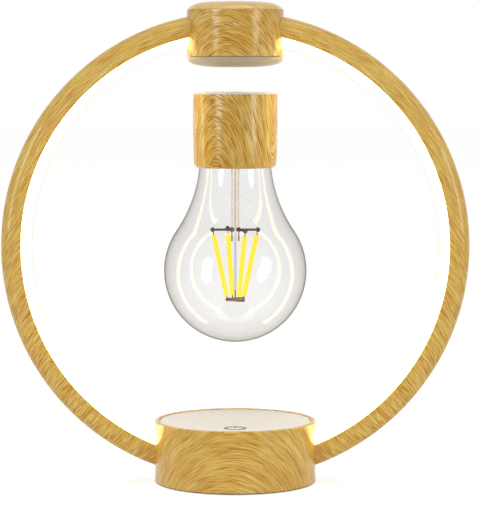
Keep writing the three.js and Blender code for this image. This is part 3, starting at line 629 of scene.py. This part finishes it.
bronze_edge = (0.3, 0.18, 0.06, 1.0)
lit_white = (1.0, 0.86, 0.42, 1.0)
finishes = {
    "wood": wood(
        "base_wood",
        lambda tree: arched_grain(tree, base_radius, centre_height=-41 * MM, turn=0.085, slimness=0.65),
        coarse=0.8,
        stretch=1.4,
        banding=0.7,
    ),
    "cap_wood": wood(
        "cap_wood",
        lambda tree: arched_grain(
            tree, cap_radius, centre_height=cap_low.z - 7.7 * MM, turn=0.464, slimness=0.44
        ),
        # The cap's print is darkened: partly painted shade on its less lit front
        depth=0.9,
        contrast=1.0,
        coarse=1.5,
    ),
    "white_plastic": moulded("white_plastic", srgb(240, 235, 231), 0.32, speckle=0.01),
    # The dish's white plastic is given grey-beige: painted shade, for the shade on its downward face under
    # the housing
    "grey_plastic": moulded("grey_plastic", srgb(178, 163, 136), 0.4, speckle=0.01),
    "diffuser": glowing("lit_diffuser", lit_white, 5.3),
    "foot_rubber": moulded("foot_rubber", srgb(44, 43, 42), 0.85, speckle=0.06),
    "black_plastic": moulded("black_plastic", srgb(30, 30, 32), 0.5, speckle=0.05),
    "mark_metal": metal("mark_metal", srgb(126, 118, 104), 0.5),
    "steel": metal("steel", srgb(168, 168, 166), 0.35),
    "copper": metal("copper", srgb(190, 120, 72), 0.35),
    "foam": moulded("foam", srgb(78, 78, 80), 0.95, speckle=0.15, grain=2.0),
    "board": circuit_board("board"),
    "can": metal("can", srgb(200, 202, 204), 0.3),
    "magnet": metal("magnet", srgb(196, 194, 188), 0.25),
    "white_cord": moulded("white_cord", srgb(232, 227, 216), 0.6),
    "bulb_glass": clear_glass("bulb_glass", srgb(184, 176, 162), 340.0),
    "stem_glass": clear_glass(
        "stem_glass",
        srgb(190, 188, 184),
        620.0,
        mirror_shares=(0.01, 0.05),
        tint=(0.9, 0.88, 0.85, 1.0),
        roughness=0.3,
    ),
    "nickel_wire": metal("nickel_wire", srgb(104, 74, 24), 0.35, worn=0.6, edge=bronze_edge),
    "filament": glowing("lit_filament", srgb(255, 229, 0), 1.2, unlit=srgb(60, 44, 0), gloss=0.0),
}
# The hoop's print is lightened a little: partly painted light
hoop_wood = wood(
    "hoop_wood", swept_grain, depth=1.03, contrast=0.75, coarse=0.85, stretch=0.8, banding=0.3
)
housing_wood = wood(
    "housing_wood",
    lambda tree: arched_grain(
        tree, housing_radius, centre_height=housing_low.z - 9.2 * MM, turn=0.228, slimness=0.93
    ),
    # The housing's print is darkened a little: partly painted shade
    depth=0.94,
    contrast=1.0,
    coarse=0.9,
    stretch=0.6,
    banding=0.8,
)
dome_wood = wood("dome_wood", straight_grain, dome_print_lit_tones)
# A dimmer cream glow for the diffuser's crest: painted shade, for the diffuser where it curves away at its
# crest
crest_painted_shade = glowing("crest_painted_shade", srgb(240, 226, 200), 0.75, unlit=srgb(90, 84, 70))
feed_wire = metal("feed_wire", srgb(226, 196, 150), 0.3, worn=0.3)
bronze_wire = metal("bronze_wire", srgb(176, 130, 54), 0.35, worn=0.5, edge=bronze_edge)
# Dark brown for the base's heel: painted shadow, the contact shade under the base's edge
heel_painted_shade = moulded("heel_painted_shade", srgb(112, 74, 22), 0.6, speckle=0.05)

for part in frame["record"]["subparts"]:
    for slot in frame["nodes"][part["node"]].material_slots:
        slot.material = finishes[part["material_slot"]]


# Base


def base_shell():
    """The drum's wall, with a rounded rim and heel, and a hole for the inlet in its back. Its heel is
    painted dark brown as painted shadow under the base's edge.
    """
    wall, rim_round, edge_round, heel_round, inlet_radius = 2 * MM, 0.6 * MM, 0.3 * MM, 0.5 * MM, 4.2 * MM
    inner = base_radius - wall
    top, heel = base_high.z, base_low.z
    profile = [
        *arc((base_radius - heel_round, heel + heel_round), heel_round, -90, 0),
        *arc((base_radius - rim_round, top - rim_round), rim_round, 0, 90),
        *arc((inner + edge_round, top - edge_round), edge_round, 90, 180, steps=4),
        (inner, heel + edge_round),
        (inner + edge_round, heel),
    ]
    shell = turned("base_drum", profile, closed=True)
    start, end = (0, inner - wall, inlet_level), (0, base_radius + wall, inlet_level)
    cut_away(shell, rod("inlet_cutter", start, end, inlet_radius, INLET_SIDES))
    coated(shell, finishes["wood"], heel_painted_shade)
    # The heel's faces take the painted shadow
    recolour(shell, 1, lambda co: co.z < heel + heel_round + WELD)
    put_on(shell, "lamp_body", "wood", "base_shell")


def top_panel():
    """The white plate in the rim, slightly eased at its edge."""
    radius, top, edge = panel_high.x, panel_high.z, 0.35 * MM
    profile = [
        (0, panel_low.z),
        (radius, panel_low.z),
        *arc((radius - edge, top - edge), edge, 0, 90, steps=5),
        (0, top),
    ]
    panel = turned("white_panel", profile)
    put_on(panel, "lamp_body", "white_plastic", "base_top_panel")


def touch_mark():
    """A thin metal ring with a short stroke from its far side towards its middle, let into the panel."""
    width, stroke_width, stroke_length, edge = 1.4 * MM, 0.9 * MM, 2.3 * MM, 0.08 * MM
    middle = (mark_low.y + mark_high.y) / 2
    low, top = mark_low.z, mark_high.z
    radius = mark_high.x
    inner = radius - width
    profile = [
        (inner, low),
        (radius, low),
        (radius, top - edge),
        (radius - edge, top),
        (inner + edge, top),
        (inner, top - edge),
    ]
    ring = turned("mark_ring", profile, MARK_SIDES, closed=True)
    ring.location = (0, middle, 0)
    start, end = inner + width / 2, inner - stroke_length
    bpy.ops.mesh.primitive_cube_add(size=1, location=(0, middle + (start + end) / 2, (low + top) / 2))
    stroke = named("mark_stroke")
    stroke.scale = (stroke_width, start - end, top - low)
    settle(stroke)
    soften(stroke, edge, 2)
    put_on(joined("mark", [ring, stroke]), "lamp_body", "mark_metal", "touch_mark")


screw_names = ["cover_screw_1", "cover_screw_2", "cover_screw_3", "arm_screw_left", "arm_screw_right"]


def screw_foot(name):
    """The middle of a screw's head at its lowest level, and the head's radius."""
    low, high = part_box(name)
    return ((low.x + high.x) / 2, (low.y + high.y) / 2, low.z), (high.x - low.x) / 2


def bottom_cover():
    """The plate that closes the base, with a well for each screw."""
    edge, thickness, well_gap, well_depth = 0.4 * MM, 2.4 * MM, 0.3 * MM, 1.1 * MM
    radius, low = cover_high.x, cover_low.z
    profile = [
        (0, low),
        *arc((radius - edge, low + edge), edge, -90, 0, steps=4),
        (radius, low + thickness),
        (0, low + thickness),
    ]
    cover = turned("cover_plate", profile)
    for name in screw_names:
        (x, y, foot), head_radius = screw_foot(name)
        start, end = (x, y, low - thickness), (x, y, foot + well_depth)
        cut_away(cover, rod("well", start, end, head_radius + well_gap, SCREW_SIDES))
    put_on(cover, "lamp_body", "black_plastic", "bottom_cover")


def cap_screw():
    """A screw that points up from height zero, with a six-sided socket in its domed head."""
    head, shank, head_height, length, socket = 2.1 * MM, 1.1 * MM, 1.1 * MM, 9.6 * MM, 0.95 * MM
    socket_rim, head_round, tip, socket_share = 0.2 * MM, 0.35 * MM, 0.4 * MM, 0.7
    profile = [
        (0, 0),
        (socket + socket_rim, 0),
        *arc((head - head_round, head_round), head_round, -90, 0, steps=4),
        (head, head_height),
        (shank, head_height),
        (shank, length - tip),
        (shank - tip, length),
        (0, length),
    ]
    screw = turned("screw", profile, SCREW_SIDES)
    cutter = rod("socket", (0, 0, -head_height), (0, 0, socket_share * head_height), socket, 6)
    cut_away(screw, cutter)
    return screw


def screws():
    """The screws under the base, each a copy of one."""
    first = cap_screw()
    for name in screw_names:
        copy = first.copy()
        copy.data = first.data.copy()
        bpy.context.scene.collection.objects.link(copy)
        copy.name = name + "_head"
        copy.location = screw_foot(name)[0]
        put_on(copy, "lamp_body", "steel", name)
    bpy.data.objects.remove(first)


def foot_pad():
    """The ring-shaped rubber pad that the base stands on."""
    width, fillet = 6.6 * MM, 0.4 * MM
    outer, inner = pad_high.x, pad_high.x - width
    bottom, top = pad_low.z, pad_high.z
    profile = [
        *arc((outer - fillet, bottom + fillet), fillet, -90, 0, steps=5),
        (outer, top),
        (inner, top),
        *arc((inner + fillet, bottom + fillet), fillet, 180, 270, steps=5),
    ]
    pad = turned("pad_ring", profile, closed=True)
    put_on(pad, "lamp_body", "foot_rubber", "foot_pad")


def power_inlet():
    """The inlet's round nose with its bore, and the pin in it."""
    nose, bore, edge, floor = 3.9 * MM, 3.1 * MM, 0.25 * MM, 1.2 * MM
    backwards = (-math.pi / 2, 0, 0)
    depth = jack_high.y - jack_low.y
    profile = [
        (0, 0),
        (nose, 0),
        *arc((nose - edge, depth - edge), edge, 0, 90, steps=4),
        *arc((bore + edge, depth - edge), edge, 90, 180, steps=4),
        (bore, floor),
        (0, floor),
    ]
    sleeve = turned("inlet_sleeve", profile, INLET_SIDES)
    sleeve.rotation_euler = backwards
    sleeve.location = (0, jack_low.y, inlet_level)
    put_on(sleeve, "lamp_body", "black_plastic", "dc_jack_body")
    radius, length = pin_high.x, pin_high.y - pin_low.y
    profile = [(0, 0), (radius, 0), *arc((0, length - radius), radius, 0, 90, steps=6)[:-1], (0, length)]
    pin = turned("inlet_pin", profile, PIN_SIDES)
    pin.rotation_euler = backwards
    pin.location = (0, pin_low.y, inlet_level)
    put_on(pin, "lamp_body", "mark_metal", "dc_jack_pin")


# Hoop


def swept(name, side, section):
    """A piece of the hoop: an outline of points, each a distance from the hoop's centre and a y, is traced
    by extruding, spun from base to housing and cut off inside the wall of each."""
    base_sink, housing_sink = 1.5 * MM, 1.75 * MM
    top_overrun, foot_overrun = 0.05, 0.08
    base_wall, housing_wall = base_radius - base_sink, housing_radius - housing_sink
    top_angle = math.asin(housing_wall / hoop_radius) - top_overrun
    foot_angle = math.pi - math.asin(base_wall / hoop_radius) + foot_overrun

    def at_top(distance, y):
        across, rise = distance * math.sin(top_angle), distance * math.cos(top_angle)
        return Vector((side * across, y, hoop_centre + rise))

    places = [at_top(*point) for point in section]
    bpy.ops.object.select_all(action="DESELECT")
    bpy.ops.mesh.primitive_plane_add(size=hoop_thickness, location=(0, 0, 0))
    piece = named(name)
    bpy.ops.object.mode_set(mode="EDIT")
    bpy.ops.mesh.select_mode(type="VERT")
    bpy.ops.mesh.select_all(action="SELECT")
    bpy.ops.mesh.merge(type="CENTER")
    bpy.ops.transform.translate(value=places[0])
    for place, following in zip(places, [*places[1:], places[0]]):
        bpy.ops.mesh.extrude_region_move(TRANSFORM_OT_translate={"value": following - place})
    bpy.ops.mesh.select_all(action="SELECT")
    bpy.ops.mesh.remove_doubles(threshold=WELD)
    bpy.ops.mesh.spin(
        steps=HOOP_STEPS,
        angle=side * (top_angle - foot_angle),
        center=(0, 0, hoop_centre),
        axis=(0, 1, 0),
    )
    for wall, upper in ((base_wall, False), (housing_wall, True)):
        bpy.ops.mesh.select_all(action="DESELECT")
        select_where(piece, lambda co: (co.z > hoop_centre) == upper)
        bpy.ops.mesh.bisect(
            plane_co=(side * wall, 0, 0),
            plane_no=(side, 0, 0),
            clear_inner=True,
            use_fill=True,
            threshold=WELD / 10,
        )
    close_up(piece)
    return piece


def arm_section():
    """The outline of a wooden half hoop: round outer edges, small lips, and a channel in its inner face."""
    outer, edge = hoop_radius - hoop_edge_round, hoop_half - hoop_edge_round
    lip, lip_y = hoop_inner + hoop_lip_round, hoop_half - hoop_lip_round - face_fall
    floor = hoop_inner + channel_depth
    return [
        *arc((outer, -edge), hoop_edge_round, -90, 0, steps=9),
        *arc((outer, edge), hoop_edge_round, 0, 90, steps=9),
        *arc((lip, lip_y), hoop_lip_round, 90, 180, steps=4),
        (hoop_inner, channel_half),
        (floor, channel_half),
        (floor, -channel_half),
        (hoop_inner, -channel_half),
        *arc((lip, -lip_y), hoop_lip_round, 180, 270, steps=4),
    ]


def diffuser_section():
    """The outline of a diffuser: it fills the channel and bulges inwards, with a bead on its crest."""
    half = channel_half - diffuser_gap
    root = hoop_inner + 0.5 * channel_depth
    bulge = arc((hoop_inner, 0), diffuser_bulge, 90, 270, steps=36, up=half)
    upper = [(distance, y) for distance, y in bulge if y > 0.5 * bead_width]
    lower = [(distance, y) for distance, y in bulge if y < -0.5 * bead_width]
    bead = arc((bead_root, 0), bead_height, 90, 270, steps=6, up=0.5 * bead_width)
    return [(root, half), *upper, *bead, *lower, (root, -half)]


def hoop():
    """Two wooden half hoops, and the lit diffusers that fill their channels, with a dimmer cream glow on
    each diffuser's crest bead as painted shade.
    """
    for name, side in (("left", -1), ("right", 1)):
        arm = coated(swept("arm_" + name, side, arm_section()), hoop_wood)
        put_on(arm, "lamp_body", "wood", "hoop_arm_" + name)
        diffuser = coated(
            swept("strip_cover_" + name, side, diffuser_section()), finishes["diffuser"], crest_painted_shade
        )
        # The crest bead takes the dimmer cream glow: painted shade along the crest
        recolour(diffuser, 1, lambda co: math.hypot(co.x, co.z - hoop_centre) < bead_root + WELD)
        put_on(diffuser, "lamp_body", "diffuser", "diffuser_" + name)


# Housing


def housing_shell():
    """The round wooden shell with its low dome."""
    wall, dome_height, groove, rim, crease_step = 1.8 * MM, 3.8 * MM, 0.12 * MM, 0.35 * MM, 0.2 * MM
    shoulder, shoulder_rise, shoulder_sink = 8.8 * MM, 3.4 * MM, 1 * MM
    shoulder_end, crown_drop, vault_power = 84, 0.12 * MM, 2.4
    low, top = housing_low.z, housing_high.z
    crease = top - dome_height
    start = math.degrees(math.asin(shoulder_sink / (shoulder_rise + shoulder_sink)))
    reach = housing_radius - crease_step - shoulder * math.cos(math.radians(start))
    centre = (reach, crease - shoulder_sink)
    outside = [
        *arc(centre, shoulder, start, shoulder_end, steps=16, up=shoulder_rise + shoulder_sink),
        (reach / 2, top - crown_drop),
        (0, top),
    ]
    inner = housing_radius - wall
    inside = squared_off(inner, crease, dome_height - wall, vault_power)
    profile = [
        *reversed(outside),
        (housing_radius - crease_step - groove, crease - groove / 3),
        (housing_radius, crease - groove),
        *arc((housing_radius - rim, low + rim), rim, 0, -90, steps=5),
        (inner, low),
        *inside,
    ]
    shell = coated(turned("housing_drum", profile), housing_wood, dome_wood)
    # The dome above the crease gets its own print in paler tones, partly painted light from above
    recolour(shell, 1, lambda co: co.z > crease - groove / 4)
    put_on(shell, "lamp_body", "wood", "housing_shell")


def housing_cover():
    """The dished cover, which stands in the shell's mouth with a seam round it."""
    floor, seam, seam_inset, spigot_inset = 1.5 * MM, 0.2 * MM, 1.1 * MM, 1.8 * MM
    hollow_inset, floor_inset, dish_power = 3.3 * MM, 4.9 * MM, 3
    radius, bottom, top = dish_high.x, dish_low.z, dish_high.z
    mouth = housing_low.z
    depth = mouth - bottom
    profile = [
        (0, bottom),
        *reversed(squared_off(radius, mouth - seam, seam - depth, dish_power)[:-1]),
        (radius - seam_inset, mouth - seam),
        (radius - seam_inset, mouth),
        (radius - spigot_inset, mouth),
        (radius - spigot_inset, top),
        (radius - hollow_inset, top),
        (radius - floor_inset, bottom + floor),
        (0, bottom + floor),
    ]
    dish = turned("dished_cover", profile)
    # The dish takes the grey-beige finish: white plastic with painted shade
    put_on(dish, "lamp_body", "grey_plastic", "housing_cover")


# Floating unit


def cap_shell():
    """The turned wooden cap with its drawn-in foot, and a recess for the disc in its top."""
    wall, foot, edge, disc_gap, collar_lap = 1.5 * MM, 1.8 * MM, 0.3 * MM, 0.3 * MM, 0.5 * MM
    draft, round_width, round_height = 0.35 * MM, 1.6 * MM, 2.6 * MM
    mouth = -collar_low.x - collar_lap
    inner = cap_radius - wall
    low, top, seat = cap_low.z, cap_high.z, disc_low.z
    recess = disc_high.x + disc_gap
    foot_centre = (cap_radius - draft - round_width, low + round_height)
    profile = [
        (mouth, low + edge),
        *arc(foot_centre, round_width, -90, 0, steps=12, up=round_height),
        (cap_radius - 0.6 * draft, low + 2.5 * round_height),
        (cap_radius, (low + top) / 2),
        *arc((cap_radius - edge, top - edge), edge, 0, 90, steps=5),
        (recess, top),
        (recess, seat),
        (inner, seat),
        (inner, low + foot),
        (mouth, low + foot),
    ]
    shell = turned("cap_drum", profile, closed=True)
    put_on(shell, "bulb_unit", "cap_wood", "cap_shell")


def cap_disc():
    """The domed disc in the cap's top, whose edge stands a little above the wood."""
    edge_rise = 0.55 * MM
    radius, top, seat = disc_high.x, disc_high.z, disc_low.z
    edge_top = cap_high.z + edge_rise
    dome = arc((0, edge_top), radius, 0, 90, steps=24, up=top - edge_top)
    disc = turned("domed_disc", [(0, seat), (radius, seat), *dome[:-1], (0, top)])
    put_on(disc, "bulb_unit", "white_plastic", "cap_disc")


def bulb():
    """The glass: a sphere that runs into the neck by an outward bend, with an even wall."""
    radius = glass_high.x
    centre = glass_low.z + radius
    bend_level = glass_high.z - neck_straight
    rise = bend_level - centre
    bend = (neck_radius**2 + rise**2 - radius**2) / (2 * (radius - neck_radius))
    meeting = math.degrees(math.atan2(rise, neck_radius + bend))

    def wall_at(inset):
        sphere, outward = radius - inset, bend + inset
        return [
            (0, centre - sphere),
            *arc((0, centre), sphere, -90, meeting, steps=56)[1:],
            *arc((neck_radius + bend, bend_level), outward, 180 + meeting, 180, steps=24)[1:-1],
            (neck_radius - inset, bend_level),
            (neck_radius - inset, glass_high.z),
        ]

    glass = turned("blown_glass", [*wall_at(0), *reversed(wall_at(glass_wall))], GLASS_SIDES)
    put_on(glass, "bulb_unit", "bulb_glass", "bulb_glass")


def stem():
    """The rod down the middle, the pinch that the wires pass, and the flare that closes the neck."""
    rod_radius, pinch, pinch_lift, pinch_height = 0.66 * MM, 2.2 * MM, 0.6 * MM, 2 * MM
    shoulder, flare_wall = 1.5 * MM, 1 * MM
    bottom, top = stem_low.z, stem_high.z
    flare = stem_high.x
    pinch_low = cap_low.z + pinch_lift
    pinch_high = pinch_low + pinch_height
    swell = arc((pinch, pinch_low - shoulder), pinch - rod_radius, 180, 90, steps=6, up=shoulder)
    opening = arc((flare, pinch_high), flare - pinch, 180, 90, steps=10, up=top - flare_wall - pinch_high)
    profile = [
        (0, bottom),
        *arc((0, bottom + rod_radius), rod_radius, -90, 0, steps=5)[1:],
        (rod_radius, pinch_low - shoulder),
        *swell[1:],
        (pinch, pinch_high),
        *opening[1:],
        (flare, top),
        (flare - flare_wall, top),
        (pinch - flare_wall, pinch_high + flare_wall),
        (0, pinch_high + flare_wall),
    ]
    stem_rod = turned("stem_rod", profile, SCREW_SIDES)
    put_on(stem_rod, "bulb_unit", "stem_glass", "glass_stem")


def lead_wires():
    """The two wires that feed the filaments, beside the glass rod."""
    radius = 0.28 * MM
    for name in ("left", "right"):
        low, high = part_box("lead_wire_" + name)
        x = (low.x + high.x) / 2
        lead = coated(rod("lead_" + name, (x, 0, low.z), (x, 0, high.z), radius), feed_wire)
        put_on(lead, "bulb_unit", "nickel_wire", "lead_wire_" + name)


def on_filament(angle, level):
    """The point at a level on the slanting middle line of the filament at an angle about the axis."""
    lean = (filament_top_spread - filament_foot_spread) / (filament_top - filament_foot)
    reach = filament_top_spread - lean * (filament_top - level)
    return Vector((reach * math.cos(angle), reach * math.sin(angle), level))


def light_filament(number, angle):
    """One filament: a coated bar with rounded ends, and the metal tabs that stand out of its two ends."""
    radius, end_round, tab_radius, tab_lap, tab_rise = 1 * MM, 0.3 * MM, 0.22 * MM, 1 * MM, 0.9 * MM
    top, foot = on_filament(angle, filament_top), on_filament(angle, filament_foot)
    bar = rod("coat", top, foot, radius, FILAMENT_SIDES)
    soften(bar, end_round, 3)
    pieces = [coated(bar, finishes["filament"])]
    upper_tab = (cross_level + tab_rise, filament_top - tab_lap)
    lower_tab = (filament_foot + tab_lap, ring_level)
    for start, end in (upper_tab, lower_tab):
        tab = rod("tab", on_filament(angle, start), on_filament(angle, end), tab_radius)
        pieces.append(coated(tab, finishes["nickel_wire"]))
    strip = joined(f"light_strip_{number}", pieces)
    put_on(strip, "bulb_unit", "filament", f"filament_{number}")


def wire_arms():
    """The two hubs with their knots, and on each two wire arms with an eye that a filament hangs from."""
    wire = finishes["nickel_wire"]
    hub_radius, knot_radius, knot_wire = 0.36 * MM, 0.65 * MM, 0.42 * MM
    arm_radius, eye_radius, eye_wire = 0.5 * MM, 0.62 * MM, 0.4 * MM
    eye_sides, upright = 24, (math.radians(90), 0, 0)
    number = 0
    for name, side, angles in (("left", -1, (180, 110)), ("right", 1, (0, -64))):
        x = side * hub_offset
        knot_place = Vector((x, 0, cross_level))
        hub = rod("hub", (x, 0, hub_foot), (x, 0, hub_top), hub_radius)
        knot = wire_ring("knot", knot_place, upright, knot_radius, knot_wire, eye_sides)
        pieces = [coated(hub, bronze_wire), coated(knot, wire)]
        for degrees in angles:
            angle = math.radians(degrees)
            eye_place = on_filament(angle, cross_level)
            way = (eye_place - knot_place).normalized()
            arm = rod("arm", knot_place, eye_place - way * eye_radius, arm_radius)
            eye = wire_ring("eye", eye_place, upright, eye_radius, eye_wire, eye_sides)
            pieces += [coated(arm, wire), coated(eye, wire)]
            number += 1
            light_filament(number, angle)
        arms = joined("wire_arms_" + name, pieces)
        smooth(arms)
        put_on(arms, "bulb_unit", "nickel_wire", "support_arms_" + name)


def lower_wire_ring():
    """The two wire loops that tie the filaments' lower ends, with a spoke, and a pin up to the glass rod."""
    reach, loop_wire, spoke_radius, loop_sides = 3.8 * MM, 0.38 * MM, 0.35 * MM, 48
    pieces = []
    for tilt, lift, finish in ((5, 0.0, finishes["nickel_wire"]), (-6, 0.25 * MM, bronze_wire)):
        centre, turn = (0, 0, ring_level + lift), (0, math.radians(tilt), 0)
        pieces.append(coated(wire_ring("loop", centre, turn, reach, loop_wire, loop_sides), finish))
    spoke = rod("spoke", (0, -reach, ring_level), (0, reach, ring_level), spoke_radius)
    pin = rod("pin", (0, 0, ring_level), (0, 0, stem_low.z), spoke_radius)
    pieces += [coated(spoke, bronze_wire), coated(pin, bronze_wire)]
    ring = joined("wire_loop", pieces)
    smooth(ring)
    put_on(ring, "bulb_unit", "nickel_wire", "lower_wire_ring")


# Stage, light and camera


def seen_directly(tree):
    """1 for rays of the camera, of a gloss or through glass, and 0 for the light that falls on things."""
    path = node(tree, "LightPath")
    rays = [path.outputs[name] for name in ("Is Camera Ray", "Is Glossy Ray", "Is Transmission Ray")]
    return calc(tree, "MAXIMUM", calc(tree, "MAXIMUM", rays[0], rays[1]), rays[2])


def stage():
    """A pale floor that shows white to the camera but keeps the lamp's shadow, and a white surround."""
    floor_size, floor_grey, floor_glow, room_light = 12, 0.86, 0.65, 0.4
    bpy.ops.object.select_all(action="DESELECT")
    bpy.ops.mesh.primitive_plane_add(size=floor_size, location=(0, 0, 0))
    floor = named("floor")
    material, tree = new_finish("floor_paper")
    paper = (floor_grey, floor_grey, floor_grey, 1.0)
    matt = node(tree, "BsdfDiffuse", {"Color": paper}).outputs[0]
    glow = node(tree, "Emission", {"Color": WHITE, "Strength": floor_glow}).outputs[0]
    shown = node(tree, "AddShader", {0: matt, 1: glow}).outputs[0]
    end_with(tree, node(tree, "MixShader", {0: seen_directly(tree), 1: matt, 2: shown}).outputs[0])
    floor.data.materials.append(material)

    world = bpy.data.worlds.new("studio")
    bpy.context.scene.world = world
    world.use_nodes = True
    tree = world.node_tree
    tree.nodes.clear()
    soft = node(tree, "Background", {"Color": (1, 0.99, 0.98, 1), "Strength": room_light}).outputs[0]
    white = node(tree, "Background", {"Color": WHITE, "Strength": 1.0}).outputs[0]
    mixed = node(tree, "MixShader", {0: seen_directly(tree), 1: soft, 2: white}).outputs[0]
    node(tree, "OutputWorld", {"Surface": mixed})


def softbox(name, place, size, power):
    """A soft oval lamp, aimed at the middle of the hoop."""
    bpy.ops.object.light_add(type="AREA", location=place)
    lamp = bpy.context.active_object
    lamp.name = name
    lamp.data.shape = "ELLIPSE"
    lamp.data.size, lamp.data.size_y = size
    lamp.data.energy = power
    way = Vector((0, 0, hoop_centre)) - Vector(place)
    lamp.rotation_euler = way.to_track_quat("-Z", "Y").to_euler()


def lights():
    """A soft lamp in front on each side, and a wide one overhead."""
    softbox("left_box", (-0.78, -0.76, 0.28), (0.34, 0.5), 2.5)
    softbox("right_box", (0.84, -0.68, 0.28), (0.36, 0.5), 2.5)
    softbox("top_box", (0, -0.15, 1.1), (1.0, 0.8), 3.2)


def camera():
    """The photograph's view: a long lens a little above the lamp's middle, aimed slightly down."""
    place = Vector((2, -972, 174.9)) * MM
    aim = Vector((2, 0, 97.4)) * MM
    bpy.ops.object.camera_add(location=place, rotation=(aim - place).to_track_quat("-Z", "Y").to_euler())
    view = bpy.context.active_object
    view.data.lens = 163
    view.data.sensor_width = 36
    view.data.clip_start = 0.01
    bpy.context.scene.camera = view


camera()
base_shell()
top_panel()
touch_mark()
bottom_cover()
screws()
foot_pad()
power_inlet()
hoop()
housing_shell()
housing_cover()
cap_shell()
cap_disc()
bulb()
stem()
lead_wires()
wire_arms()
lower_wire_ring()
stage()
lights()
bpy.context.scene.view_settings.view_transform = "Standard"
